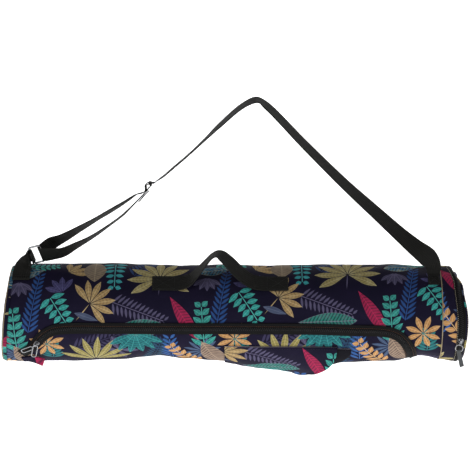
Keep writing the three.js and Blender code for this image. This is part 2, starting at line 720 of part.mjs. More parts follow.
/** The carrying handle: flat where it is sewn on, standing up in a twisted arch between. */
function handle() {
  const around = 42;
  const left = -HANDLE_START;
  const flat = SEAT + WEBBING / 2;
  const rows = [
    { at: 0, rise: 0, lean: 0, across: [0, 0] },
    { at: 0.09, rise: 0, lean: 0, across: [0, 0] },
    { at: 0.19, rise: 0.012, lean: 0, across: [0, 0] },
    { at: 0.265, rise: 0.1, lean: 0.0, across: [0, -0.12] },
    { at: 0.33, rise: 0.36, lean: 0.03, across: [0.05, -0.35] },
    { at: 0.4, rise: 0.73, lean: 0.08, across: [0.1, -0.6] },
    { at: 0.445, rise: 0.94, lean: 0.11, across: [0.06, -0.6] },
    { at: 0.478, rise: 1, lean: 0.12, across: [-0.05, -0.5] },
    { at: 0.515, rise: 0.93, lean: 0.12, across: [-0.22, -0.35] },
    { at: 0.58, rise: 0.66, lean: 0.1, across: [-0.35, -0.25] },
    { at: 0.66, rise: 0.3, lean: 0.05, across: [-0.3, -0.15] },
    { at: 0.74, rise: 0.07, lean: 0.01, across: [-0.12, 0] },
    { at: 0.82, rise: 0.006, lean: 0, across: [0, 0] },
    { at: 0.92, rise: 0, lean: 0, across: [0, 0] },
    { at: 1, rise: 0, lean: 0, across: [0, 0] },
  ];
  const keys = rows.map((row) => {
    const centre = onBag(left + HANDLE_SPAN * row.at, around, flat);
    centre.z += row.rise * HANDLE_RISE;
    centre.y -= row.lean * HANDLE_RISE;
    const across = roundBag(around);
    across.x += row.across[0];
    across.z -= row.across[1];
    return { centre, across: across.normalize() };
  });
  return webbing(keys, HANDLE_WIDTH, WEBBING, 3);
}

/** The folded end of the zip's cloth, which hangs below the bag's left end. */
function cornerTab() {
  const rows = [
    { at: 0.033, around: 144, lift: 0, lean: 0 },
    { at: 0.047, around: 142, lift: 0.4, lean: 4 },
    { at: 0.06, around: 141, lift: 2.6, lean: 14 },
    { at: 0.073, around: 141, lift: 6, lean: 26 },
    { at: 0.083, around: 142, lift: 8.5, lean: 34 },
  ];
  const flat = SEAT + CORNER_TAB_THICKNESS / 2;
  const keys = rows.map((row) => {
    const centre = onBag(LEFT_RIM + MAIN_LENGTH * row.at, row.around, flat + row.lift);
    const across = roundBag(row.around - row.lean).add(new THREE.Vector3(-0.3, 0, 0));
    return { centre, across: across.normalize() };
  });
  return webbing(keys, CORNER_TAB_WIDTH, CORNER_TAB_THICKNESS, 3);
}

/** A zip slider's body: a shield-shaped block with a raised bridge, in its own frame. */
function sliderBody(frame) {
  const half = SLIDER_LENGTH / 2;
  const wide = SLIDER_WIDTH / 2;
  const outline = new THREE.Shape();
  outline.moveTo(-half, -wide * 0.55);
  outline.quadraticCurveTo(-half * 0.2, -wide, half * 0.7, -wide);
  outline.lineTo(half, -wide * 0.5);
  outline.lineTo(half, wide * 0.5);
  outline.lineTo(half * 0.7, wide);
  outline.quadraticCurveTo(-half * 0.2, wide, -half, wide * 0.55);
  const options = { depth: SLIDER_HEIGHT - 0.8, bevelThickness: 0.4, bevelSize: 0.4, bevelSegments: 1, curveSegments: 4 };
  const block = new THREE.ExtrudeGeometry(outline, options);
  block.applyMatrix4(new THREE.Matrix4().makeBasis(frame.along, frame.across, frame.out));
  block.translate(frame.centre.x, frame.centre.y, frame.centre.z);
  return block;
}

/** A frame that stands on the bag at a point, with its length at an angle to the bag's. */
function frameOnBag(x, around, lift, heading) {
  const out = outOfBag(around);
  const along = new THREE.Vector3(Math.cos(heading * DEGREE), 0, 0);
  along.addScaledVector(roundBag(around), Math.sin(heading * DEGREE)).normalize();
  const across = new THREE.Vector3().crossVectors(out, along);
  return { centre: onBag(x, around, lift), along, across, out };
}

const ZIP_TOP = SEAT + ZIP_TAPE + ZIP_RIDGE;
const SLIDER_X = LEFT_RIM + 0.0685 * MAIN_LENGTH;

/** The long zip's slider, at the zip's left end. */
function mainSlider() {
  return sliderBody(frameOnBag(SLIDER_X, 114.5, ZIP_TOP + GAP + 0.4, -48));
}

/** A wire pull: the loop hangs from a point in a direction, its face turned to a normal. */
function wirePull(from, along, out) {
  const across = new THREE.Vector3().crossVectors(out, along).normalize();
  const face = new THREE.Vector3().crossVectors(along, across).normalize();
  const centre = from.clone().addScaledVector(along, PULL_LENGTH / 2);
  const frame = { centre, along, across, out: face };
  return wireLoop(PULL_LENGTH - PULL_WIRE, PULL_WIDTH - PULL_WIRE, 2.6, PULL_WIRE, frame, 24);
}

/** The pull that hangs straight down in front of the slider. */
function frontPull() {
  const from = onBag(SLIDER_X, 113, ZIP_TOP + SLIDER_HEIGHT + GAP * 2 + PULL_WIRE / 2);
  return wirePull(from, new THREE.Vector3(-0.2, 0.05, -0.98).normalize(), outOfBag(100));
}

/** The pull that lies to the left, behind the other. */
function sidePull() {
  const from = onBag(SLIDER_X - 4.6, 118.4, ZIP_TOP + GAP + PULL_WIRE / 2);
  const along = new THREE.Vector3(-0.9, 0.14, -0.36).normalize();
  return wirePull(from, along, outOfBag(122));
}

const END_SLIDER_AROUND = 112;

/** The frame of the round zip's slider. */
function endSliderFrame() {
  const seat = onEndTape(END_SLIDER_AROUND, 0.5);
  const out = outOfBag(END_SLIDER_AROUND);
  const along = roundBag(END_SLIDER_AROUND).negate();
  const across = new THREE.Vector3().crossVectors(out, along);
  const centre = atRadius(seat.x, END_SLIDER_AROUND, seat.radius + ZIP_RIDGE + 2 * GAP + 0.4);
  return { centre, along, across, out };
}

/** The round zip's slider. */
function endSlider() {
  return sliderBody(endSliderFrame());
}

/** The wire ring on the round zip's slider. */
function endPullRing() {
  const frame = endSliderFrame();
  const down = new THREE.Vector3(-0.3, 0.1, -0.95).normalize();
  const out = outOfBag(104);
  const across = new THREE.Vector3().crossVectors(out, down).normalize();
  const face = new THREE.Vector3().crossVectors(down, across).normalize();
  const centre = frame.centre
    .clone()
    .addScaledVector(frame.out, SLIDER_HEIGHT - 0.8 + PULL_WIRE / 2)
    .addScaledVector(down, END_RING_WIDTH / 2 + 3);
  const loop = { centre, along: down, across, out: face };
  return wireLoop(END_RING_WIDTH - 1.6, END_RING_WIDTH, 4, 1.6, loop, 20);
}

/** The soft grey pull that hangs from the ring. */
function endPullTab() {
  const frame = endSliderFrame();
  const start = frame.centre
    .clone()
    .addScaledVector(frame.out, SLIDER_HEIGHT + PULL_WIRE + END_PULL_THICKNESS / 2 - 1.2)
    .add(new THREE.Vector3(-4, 0, -10));
  const keys = [0, 0.2, 0.45, 0.7, 1].map((share) => ({
    centre: start.clone().add(new THREE.Vector3(6 * share, 1.5 * share, -END_PULL_LENGTH * share)),
    across: new THREE.Vector3(0.95, 0.3 * share, 0.1),
    share: 0.8 + 0.2 * share,
  }));
  return webbing(keys, END_PULL_WIDTH, END_PULL_THICKNESS, 2);
}

const FINISHES = {
  print: { color: 0x1f1c3a, roughness: 0.72, metalness: 0 },
  webbing: { color: 0x1b1b19, roughness: 0.8, metalness: 0 },
  zip: { color: 0x141414, roughness: 0.7, metalness: 0 },
  metal: { color: 0xb4b4b6, roughness: 0.3, metalness: 1 },
  pull: { color: 0x4a4d50, roughness: 0.6, metalness: 0 },
};

const bag = new THREE.Group();

/** Adds a named piece with its finish. */
function add(name, geometry, finish) {
  const mesh = new THREE.Mesh(geometry, new THREE.MeshStandardMaterial(FINISHES[finish]));
  mesh.name = name;
  bag.add(mesh);
}

add('body_tube', bodyTube(), 'print');
add('left_panel', leftPanel(), 'print');
add('end_band', endBand(), 'print');
add('right_cap', rightCap(), 'print');
add('end_zip', endZip(), 'zip');
add('main_zip', mainZip(), 'zip');
add('pocket_patch', pocketPatch(), 'print');
add('corner_tab', cornerTab(), 'print');
add('handle', handle(), 'webbing');
add('shoulder_strap', shoulderStrap(), 'webbing');
add('strap_tail', strapTail(), 'webbing');
add('ring_tab', ringTab(), 'webbing');
add('tab_loop', tabLoop(), 'webbing');
add('strap_ring', strapRing(), 'metal');
add('tri_glide', triGlide(), 'metal');
add('main_slider', mainSlider(), 'metal');
add('front_pull', frontPull(), 'metal');
add('side_pull', sidePull(), 'metal');
add('end_slider', endSlider(), 'metal');
add('end_pull_ring', endPullRing(), 'metal');
add('end_pull_tab', endPullTab(), 'pull');

export default bag;
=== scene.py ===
"""A yoga mat bag of leaf-printed canvas that hangs by its shoulder strap.

The model is in metres with +Z up, +X along the bag and -Y towards the long zip. The
origin is on top of the strap's crest. Sizes in the classes are in millimetres.
"""

from __future__ import annotations

import logging
import math
from dataclasses import dataclass, field
from enum import Enum
from typing import Callable, Iterable, Sequence

import bmesh
import bpy
from mathutils import Matrix, Vector, noise


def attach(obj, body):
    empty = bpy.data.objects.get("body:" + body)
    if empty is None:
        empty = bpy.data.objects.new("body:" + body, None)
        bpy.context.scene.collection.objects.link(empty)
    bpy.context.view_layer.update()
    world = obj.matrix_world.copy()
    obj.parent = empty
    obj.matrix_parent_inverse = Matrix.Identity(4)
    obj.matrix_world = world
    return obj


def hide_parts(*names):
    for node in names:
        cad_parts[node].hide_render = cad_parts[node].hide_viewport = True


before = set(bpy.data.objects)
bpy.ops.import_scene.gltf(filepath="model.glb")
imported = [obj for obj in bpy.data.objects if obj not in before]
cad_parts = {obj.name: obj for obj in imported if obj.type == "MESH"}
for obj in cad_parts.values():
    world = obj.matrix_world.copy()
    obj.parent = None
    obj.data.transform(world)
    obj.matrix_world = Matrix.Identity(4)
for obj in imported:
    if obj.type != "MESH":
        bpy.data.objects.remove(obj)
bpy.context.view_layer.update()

LOG = logging.getLogger("mat_bag")
MM = 0.001
DEGREE = math.pi / 180
GAP = 0.3  # clearance between neighbouring pieces
SEAT = 0.62  # how far what is sewn on stands off the cloth
SLIDER_LENGTH = 11
SLIDER_WIDTH = 8
SLIDER_HEIGHT = 3
WEB_STITCH = 0.85  # how far a stitch stands above a web's middle
COLOUR_MIX = {"data_type": "RGBA"}

Tree = bpy.types.NodeTree
Socket = bpy.types.NodeSocket
Material = bpy.types.Material
Mesh = bmesh.types.BMesh
Piece = bpy.types.Object
Spot = tuple[float, float]
Place = Callable[[float, float], Vector]
Chart = Callable[[float, float], Spot]


def srgb(code: str) -> tuple[float, float, float, float]:
    """Turns an sRGB hex colour to linear light.

    Args:
        code: The colour, such as "#1a1630".

    Returns:
        Red, green, blue and an alpha of 1.
    """
    parts = [int(code[i : i + 2], 16) / 255 for i in (1, 3, 5)]
    linear = [c / 12.92 if c <= 0.04045 else ((c + 0.055) / 1.055) ** 2.4 for c in parts]
    return (linear[0], linear[1], linear[2], 1.0)


def add_node(
    tree: Tree,
    kind: str,
    settings: dict[str, object] | None = None,
    inputs: dict[int | str, object] | None = None,
) -> bpy.types.Node:
    """Adds a node with its settings and what goes into it.

    Args:
        tree: The node tree that gets the node.
        kind: The node's type name.
        settings: Attributes to set on the node.
        inputs: Values or sockets, by the input's number or name.

    Returns:
        The new node.
    """
    made = tree.nodes.new(kind)
    for name, value in (settings or {}).items():
        setattr(made, name, value)
    for key, value in (inputs or {}).items():
        if isinstance(value, Socket):
            tree.links.new(value, made.inputs[key])
        else:
            made.inputs[key].default_value = value
    return made


def work_out(
    tree: Tree,
    known: dict[str, object],
    rows: Iterable[tuple[object, ...]],
) -> dict[str, object]:
    """Adds a chain of maths nodes from a table of steps.

    Args:
        tree: The node tree that gets the nodes.
        known: Sockets and numbers by name.
        rows: Steps of (result, operation, input, ...). An input is a name or a number, and
            an operation that ends in an exclamation mark keeps its result from 0 to 1.

    Returns:
        The known values with the results added.
    """
    values = dict(known)
    for result, operation, *inputs in rows:
        settings = {"operation": str(operation).rstrip("!"), "use_clamp": str(operation).endswith("!")}
        filled = {i: values[item] if isinstance(item, str) else item for i, item in enumerate(inputs)}
        values[str(result)] = add_node(tree, "ShaderNodeMath", settings, filled).outputs[0]
    return values


def mapped_grid(columns: int, rows: int, place: Place, chart: Chart | None = None) -> Mesh:
    """Shapes a flat grid into a surface, and closes it where its edges meet.

    Args:
        columns: Faces along the grid.
        rows: Faces across the grid.
        place: Gives a point in mm for two shares from 0 to 1.
        chart: Gives the UV in metres for the same shares.

    Returns:
        The shaped mesh, in metres.
    """
    bm = bmesh.new()
    bmesh.ops.create_grid(bm, x_segments=columns, y_segments=rows, size=0.5)
    layer = bm.loops.layers.uv.new("UVMap")
    for face in bm.faces:
        face.smooth = True
        for loop in face.loops:
            share = loop.vert.co
            loop[layer].uv = chart(share.x + 0.5, share.y + 0.5) if chart else (share.x, share.y)
    for vert in bm.verts:
        vert.co = place(vert.co.x + 0.5, vert.co.y + 0.5) * MM
    bmesh.ops.remove_doubles(bm, verts=bm.verts, dist=0.01 * MM)
    bmesh.ops.dissolve_degenerate(bm, edges=bm.edges, dist=0.001 * MM)
    return bm


def face_away(bm: Mesh, inside: Callable[[Vector], Vector]) -> None:
    """Turns the faces over if most of them look inwards.

    Args:
        bm: The mesh, in metres.
        inside: Gives the point that a place on the surface should look away from.
    """
    bm.normal_update()
    score = 0.0
    for face in bm.faces:
        middle = face.calc_center_median()
        score += face.normal.dot(middle - inside(middle)) * face.calc_area()
    if score < 0:
        bmesh.ops.reverse_faces(bm, faces=bm.faces)


def make_piece(
    name: str,
    bm: Mesh,
    materials: Sequence[Material],
    nodes: Sequence[str] = (),
) -> Piece:
    """Makes an object of a finished mesh and puts it on the bag.

    Args:
        name: The piece's name.
        bm: Its mesh, in metres, which is used up.
        materials: Its material slots in order.
        nodes: The frame's nodes that it stands for.

    Returns:
        The new object.
    """
    mesh = bpy.data.meshes.new(name)
    bm.to_mesh(mesh)
    bm.free()
    made = bpy.data.objects.new(name, mesh)
    bpy.context.scene.collection.objects.link(made)
    for material in materials:
        mesh.materials.append(material)
    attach(made, "root")
    if nodes:
        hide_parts(*nodes)
    LOG.info("%s: %d faces", name, len(mesh.polygons))
    return made


def add_wall(piece: Piece, thickness: float, offset: float = -1.0, lining: int = 0, rim: int = 0) -> None:
    """Gives a sheet its thickness.

    Args:
        piece: The sheet.
        thickness: In mm.
        offset: -1 puts the wall behind the face, 0 on both sides of it.
        lining: How many material slots on the back's material is.
        rim: How many material slots on the cut edge's material is.
    """
    wall = piece.modifiers.new("wall", "SOLIDIFY")
    wall.thickness = thickness * MM
    wall.offset = offset
    wall.use_even_offset = False
    wall.material_offset = lining
    wall.material_offset_rim = rim


def round_edges(piece: Piece, width: float, segments: int = 2, limit: float = 50) -> None:
    """Rounds a piece's sharp edges.

    Args:
        piece: The piece.
        width: The rounding in mm.
        segments: Faces across each edge.
        limit: Only edges sharper than this many degrees are rounded.
    """
    bevel = piece.modifiers.new("edges", "BEVEL")
    bevel.width = width * MM
    bevel.segments = segments
    bevel.limit_method = "ANGLE"
    bevel.angle_limit = limit * DEGREE
    bevel.harden_normals = False


def scatter(template: Mesh, places: Iterable[Matrix]) -> Mesh:
    """Repeats a small shape at many places.

    Args:
        template: The shape, in metres, which is used up.
        places: A transform for each copy.

    Returns:
        All the copies as one mesh.
    """
    shape = bpy.data.meshes.new("template")
    template.to_mesh(shape)
    template.free()
    bm = bmesh.new()
    for place in places:
        start = len(bm.verts)
        bm.from_mesh(shape)
        bm.verts.ensure_lookup_table()
        bmesh.ops.transform(bm, matrix=place, verts=bm.verts[start:])
    for face in bm.faces:
        face.smooth = True
    bpy.data.meshes.remove(shape)
    return bm


def basis(centre: Vector, along: Vector, across: Vector, out: Vector) -> Matrix:
    """The transform that carries X, Y and Z to three directions at a centre in mm."""
    turn = Matrix((along, across, out)).transposed()
    return Matrix.Translation(centre * MM) @ turn.to_4x4()


def seated(here: Vector, ahead: Vector, beside: Vector, outwards: Vector, turn: float, lift: float) -> Matrix:
    """Finds a frame that stands on a surface.

    Args:
        here: The place in mm.
        ahead: A way along the surface, which X follows.
        beside: Another way along it.
        outwards: Roughly the way out of it.
        turn: How far X is turned from ahead, in degrees.
        lift: How far the frame stands above the place, in mm.

    Returns:
        The transform, with Z out of the surface.
    """
    out = ahead.cross(beside).normalized()
    if out.dot(outwards) < 0:
        out = -out
    along = (ahead - out * ahead.dot(out)).normalized()
    across = out.cross(along)
    cos, sin = math.cos(turn * DEGREE), math.sin(turn * DEGREE)
    return basis(here + out * lift, along * cos + across * sin, across * cos - along * sin, out)


def eased(rows: Sequence[object], key: str, place: float, column: str) -> float:
    """Reads a column of a table between two rows, eased so that it stays smooth.

    Args:
        rows: The table's rows, in order of the key.
        key: The key column's name.
        place: Where to read.
        column: The column to read.

    Returns:
        The value there.
    """
    if place <= getattr(rows[0], key):
        return getattr(rows[0], column)
    if place >= getattr(rows[-1], key):
        return getattr(rows[-1], column)
    high = next(i for i, row in enumerate(rows) if getattr(row, key) > place)
    low_row, high_row = rows[high - 1], rows[high]
    share = (place - getattr(low_row, key)) / (getattr(high_row, key) - getattr(low_row, key))
    share = share * share * (3 - 2 * share)
    return getattr(low_row, column) * (1 - share) + getattr(high_row, column) * share


@dataclass
class SmoothPath:
    """A smooth curve through points: centripetal, or plain with a tension."""

    points: list[Vector]
    tension: float | None = None

    def __post_init__(self) -> None:
        """Works out the slopes of each stretch between two points once."""
        last = len(self.points) - 1
        self.stretches: list[tuple[Vector, Vector, Vector, Vector]] = []
        for i in range(last):
            b, c = self.points[i], self.points[i + 1]
            a = self.points[i - 1] if i > 0 else b * 2 - c
            d = self.points[i + 2] if i + 2 <= last else c * 2 - b
            if self.tension is None:
                steps = [max((q - p).length, 0.0) ** 0.5 for p, q in ((a, b), (b, c), (c, d))]
                steps[1] = steps[1] if steps[1] > 1e-4 else 1.0
                steps[0] = steps[0] if steps[0] > 1e-4 else steps[1]
                steps[2] = steps[2] if steps[2] > 1e-4 else steps[1]
                start = (b - a) / steps[0] - (c - a) / (steps[0] + steps[1]) + (c - b) / steps[1]
                end = (c - b) / steps[1] - (d - b) / (steps[1] + steps[2]) + (d - c) / steps[2]
                start, end = start * steps[1], end * steps[1]
            else:
                start, end = (c - a) * self.tension, (d - b) * self.tension
            self.stretches.append((b, start, c * 3 - b * 3 - start * 2 - end, b * 2 - c * 2 + start + end))

    def at(self, share: float) -> Vector:
        """Finds a point on the curve.

        Args:
            share: From 0 at the first point to 1 at the last.

        Returns:
            The point.
        """
        place = min(max(share, 0.0), 1.0) * len(self.stretches)
        i = min(int(place), len(self.stretches) - 1)
        t = place - i
        k0, k1, k2, k3 = self.stretches[i]
        return k0 + k1 * t + k2 * (t * t) + k3 * (t * t * t)

    def heading(self, share: float) -> Vector:
        """The unit direction of travel at a share of the keys."""
        return (self.at(min(share + 1e-4, 1)) - self.at(max(share - 1e-4, 0))).normalized()


@dataclass(frozen=True)
class Section:
    """The bag's section at a share of its length: shares of the radius."""

    at: float
    top: float
    side: float
    under: float


@dataclass(frozen=True)
class Fold:
    """A dent or swell: shares of the length, degrees from the top to the front, and height."""

    at: float
    around: float
    reach: float
    girth: float
    swell: float


@dataclass(frozen=True)
class EndRow:
    """The right end at an angle from the top: shares of the band and tape, and the tip."""

    around: float
    band: float
    tip: float


@dataclass
class BagForm:
    """The shape that the cloth takes, which every piece on it follows."""

    radius: float = 74.5
    drop: float = 326
    left_rim: float = -363
    length: float = 649
    cloth: float = 2
    left_corner: float = 8
    left_slant: float = 7.2
    left_bulge: float = 5
    band_length: float = 21.5
    tape_width: float = 13.5
    print_slope: float = 0.035
    print_level: float = 420
    sections: tuple[Section, ...] = (
        Section(0.0, 0.99, 1.0, 0.97),
        Section(0.05, 1.01, 1.0, 1.0),
        Section(0.12, 1.02, 1.0, 0.98),
        Section(0.23, 1.02, 1.0, 0.95),
        Section(0.35, 1.0, 1.01, 0.86),
        Section(0.41, 0.98, 1.01, 0.92),
        Section(0.49, 0.99, 1.0, 0.97),
        Section(0.59, 0.98, 0.99, 1.05),
        Section(0.7, 1.0, 0.99, 1.04),
        Section(0.83, 1.0, 1.0, 0.99),
        Section(0.89, 1.01, 1.0, 0.97),
        Section(0.955, 0.965, 1.01, 0.86),
        Section(1.0, 0.965, 1.0, 0.93),
        Section(1.04, 0.975, 1.0, 0.98),
    )
    folds: tuple[Fold, ...] = (
        Fold(0.09, 150, 0.035, 28, -0.035),
        Fold(0.2, 62, 0.06, 26, 0.014),
        Fold(0.31, 128, 0.05, 22, -0.022),
        Fold(0.47, 70, 0.07, 30, -0.014),
        Fold(0.79, 128, 0.045, 24, 0.018),
        Fold(0.93, 60, 0.035, 30, -0.02),
        Fold(0.42, 245, 0.09, 34, -0.03),
        Fold(0.78, 262, 0.08, 30, 0.02),
    )
    right_end: tuple[EndRow, ...] = (
        EndRow(0, 0.47, 48),
        EndRow(45, 0.82, 27),
        EndRow(90, 1.0, 6),
        EndRow(135, 0.95, 17),
        EndRow(180, 0.9, 12),
    )

    @property
    def seam(self) -> float:
        """Where the right seam is along the bag."""
        return self.left_rim + self.length

    def reach(self, x: float, around: float) -> float:
        """The outer radius at a place.

        Args:
            x: Along the bag in mm.
            around: Degrees from the top to the front.

        Returns:
            The radius in mm.
        """
        at = (x - self.left_rim) / self.length
        rise = math.cos(around * DEGREE)
        top = rise * rise if rise > 0 else 0.0
        under = rise * rise if rise < 0 else 0.0
        share = top * eased(self.sections, "at", at, "top") + under * eased(self.sections, "at", at, "under")
        share += (1 - rise * rise) * eased(self.sections, "at", at, "side")
        for fold in self.folds:
            along = (at - fold.at) / fold.reach
            if abs(along) < 3:
                turn = abs((around - fold.around + 540) % 360 - 180) / fold.girth
                share += fold.swell * math.exp(-along * along - turn * turn)
        return self.radius * share

    def at_radius(self, x: float, around: float, radius: float) -> Vector:
        """The point at x, an angle in degrees and a radius, all in mm."""
        angle = around * DEGREE
        return Vector((x, -radius * math.sin(angle), radius * math.cos(angle) - self.drop))

    def on(self, x: float, around: float, lift: float = 0.0) -> Vector:
        """A point that stands above the cloth by lift, in mm."""
        return self.at_radius(x, around, self.reach(x, around) + lift)

    def round_way(self, around: float) -> Vector:
        """The direction round the bag, from the top towards the front."""
        return Vector((0, -math.cos(around * DEGREE), -math.sin(around * DEGREE)))

    def out_way(self, around: float) -> Vector:
        """The direction straight out of the bag."""
        return Vector((0, -math.sin(around * DEGREE), math.cos(around * DEGREE)))

    def left_edge(self, around: float) -> float:
        """Where the left panel's rim lies at an angle."""
        return self.left_rim - self.left_bulge + self.left_slant * math.cos(around * DEGREE)

    def band_edge(self, around: float) -> float:
        """Where the printed band ends and the round zip starts."""
        turn = abs((around + 540) % 360 - 180)
        return self.seam + self.band_length * eased(self.right_end, "around", turn, "band")

    def on_tape(self, around: float, share: float) -> Spot:
        """A place on the round zip's face.

        Args:
            around: Degrees from the top to the front.
            share: The share of the tape's width from the band.

        Returns:
            x and the radius there, in mm.
        """
        turn = abs((around + 540) % 360 - 180)
        tip = eased(self.right_end, "around", turn, "tip") * DEGREE
        start = self.band_edge(around)
        run = self.tape_width * share
        return start + run * math.cos(tip * share), self.reach(start, around) - run * math.sin(tip * share)

    def axis_point(self, place: Vector) -> Vector:
        """The point on the bag's axis beside a place, both in metres."""
        return Vector((place.x, 0, -self.drop * MM))

    def print_chart(self, x: float, around: float, slide: float = 0.0, turn: float = 0.0) -> Spot:
        """The print's coordinates for a place on the cloth.

        Args:
            x: Along the bag in mm.
            around: Degrees from the top to the front.
            slide: How far the panel's print is shifted along, in mm.
            turn: How far it is shifted round, in mm.

        Returns:
            The UV in metres. The print runs slightly uphill to the right, as it was cut.
        """
        u = x - self.left_rim
        v = around * DEGREE * self.radius
        climb = self.print_slope * (u - self.print_level)
        return (u + slide) * MM, (v + turn + climb) * MM


FORM = BagForm()


@dataclass(frozen=True)
class Colour:
    """A colour of the print's palette with its lighter edge."""

    fill: str
    edge: str


class Growth(Enum):
    """How a motif's leaflets grow."""

    SPRIG = "sprig"
    FAN = "fan"


@dataclass(frozen=True)
class Motif:
    """One plant of the print, in mm on the cloth: u along the bag and v round it.

    Leaflets of a sprig leave its stem in pairs at an angle of lean. Those of a fan leave
    one point, and pitch is then in degrees. The plant points along heading, where 90 is up.
    """

    growth: Growth
    u: float
    v: float
    heading: float
    count: int
    pitch: float
    long: float
    wide: float
    colour: Colour
    lean: float = 60
    stripe: float = 0.0
    taper: float = 0.5


NAVY_FERN = Colour("#1c3f76", "#2b5aa0")
MAUVE = Colour("#4c4865", "#6a6484")
GOLD = Colour("#a0925c", "#cfc596")
SAND = Colour("#a98a58", "#d6bd88")
TEAL = Colour("#2a9d97", "#57cbc0")
SEA = Colour("#2f8f86", "#4fc3b5")
MAGENTA = Colour("#a50d48", "#c41f58")
PINE = Colour("#2c8577", "#8f8aa0")
TAN = Colour("#8a7a66", "#b3a284")
TURQUOISE = Colour("#27929a", "#55bdc0")
SLATE = Colour("#46506b", "#66718d")
ORANGE = Colour("#c08a4e", "#e6bd86")
STEEL = Colour("#3a4c6b", "#5d7396")
BROWN_ROSE = Colour("#9c8470", "#c0a890")
OLIVE_GOLD = Colour("#9c8f4e", "#cbc285")
DUSK = Colour("#45415c", "#6c6788")
OVAL_BLUE = Colour("#2f6f8f", "#cfc8a0")
DEEP_TEAL = Colour("#1f6a6e", "#2f8c8c")
LAGOON = Colour("#1d7478", "#43aaa8")
ROYAL = Colour("#1f4f8f", "#3c70b8")
VIOLET = Colour("#43406a", "#5d5a8c")

PLANTS = (
    Motif(Growth.SPRIG, 248, 190, 95, 7, 9, 24, 5, ROYAL, 45),
    Motif(Growth.SPRIG, 33, 118, 80, 12, 8.4, 19, 4.6, NAVY_FERN, 42),
    Motif(Growth.SPRIG, 159, 76, -22, 13, 6.8, 18, 4.2, MAUVE, 62),
    Motif(Growth.FAN, 19, 37, -90, 5, 26, 26, 8, DUSK),
    Motif(Growth.FAN, 12, 162, 90, 12, 30, 29, 6, STEEL),
    Motif(Growth.SPRIG, 68, 178, 90, 6, 8, 21, 6, DEEP_TEAL, 50),
    Motif(Growth.FAN, 92, 20, 40, 4, 34, 32, 10, SAND, stripe=0.3),
    Motif(Growth.SPRIG, 32, 4, 6, 6, 8, 17, 6, SEA, 58),
    Motif(Growth.FAN, 84, 58, 110, 4, 34, 28, 9, VIOLET, stripe=0.3),
    Motif(Growth.FAN, 131, 42, 90, 1, 40, 60, 34, TAN, stripe=0.35),
    Motif(Growth.FAN, 242, 116, 180, 1, 40, 88, 27, PINE, stripe=1.0),
    Motif(Growth.FAN, 286, 138, 122, 1, 40, 80, 19, MAGENTA, stripe=0.6),
    Motif(Growth.FAN, 167, 156, 80, 6, 60, 30, 10.5, DUSK),
    Motif(Growth.SPRIG, 66, 66, -58, 6, 10.5, 21, 8.5, TEAL, 74, stripe=0.3),
    Motif(Growth.FAN, 4, 24, 12, 1, 40, 52, 27, OVAL_BLUE, stripe=0.9),
    Motif(Growth.FAN, 229, 38, -94, 1, 40, 31, 2.2, MAUVE),
    Motif(Growth.FAN, 229, 38, 90, 9, 30, 50, 12.8, GOLD, stripe=0.3),
    Motif(Growth.SPRIG, 15, 150, 94, 6, 12.5, 23, 9, SEA, 50, stripe=0.3),
    Motif(Growth.SPRIG, 161, -6, -90, 6, 11.5, 18, 7.5, TURQUOISE, 74),
    Motif(Growth.FAN, 125, 77, -130, 1, 40, 34, 1.8, SAND),
    Motif(Growth.FAN, 125, 77, 36, 7, 30, 39, 9.6, SAND, stripe=0.3),
    Motif(Growth.FAN, 102, 90, -20, 1, 40, 38, 10, SLATE),
    Motif(Growth.FAN, 60, 139, 90, 8, 45, 28, 8.6, ORANGE, stripe=0.25),
    Motif(Growth.FAN, 44, 207, 117, 1, 40, 74, 34, BROWN_ROSE, stripe=0.7),
    Motif(Growth.FAN, 131, 183, 84, 7, 24, 56, 10.5, OLIVE_GOLD, stripe=0.3),
    Motif(Growth.FAN, 193, 124, -90, 6, 26, 44, 12, LAGOON, stripe=0.5),
    Motif(Growth.SPRIG, 285, 207, 126, 6, 13, 21, 8.5, ORANGE, 46),
)


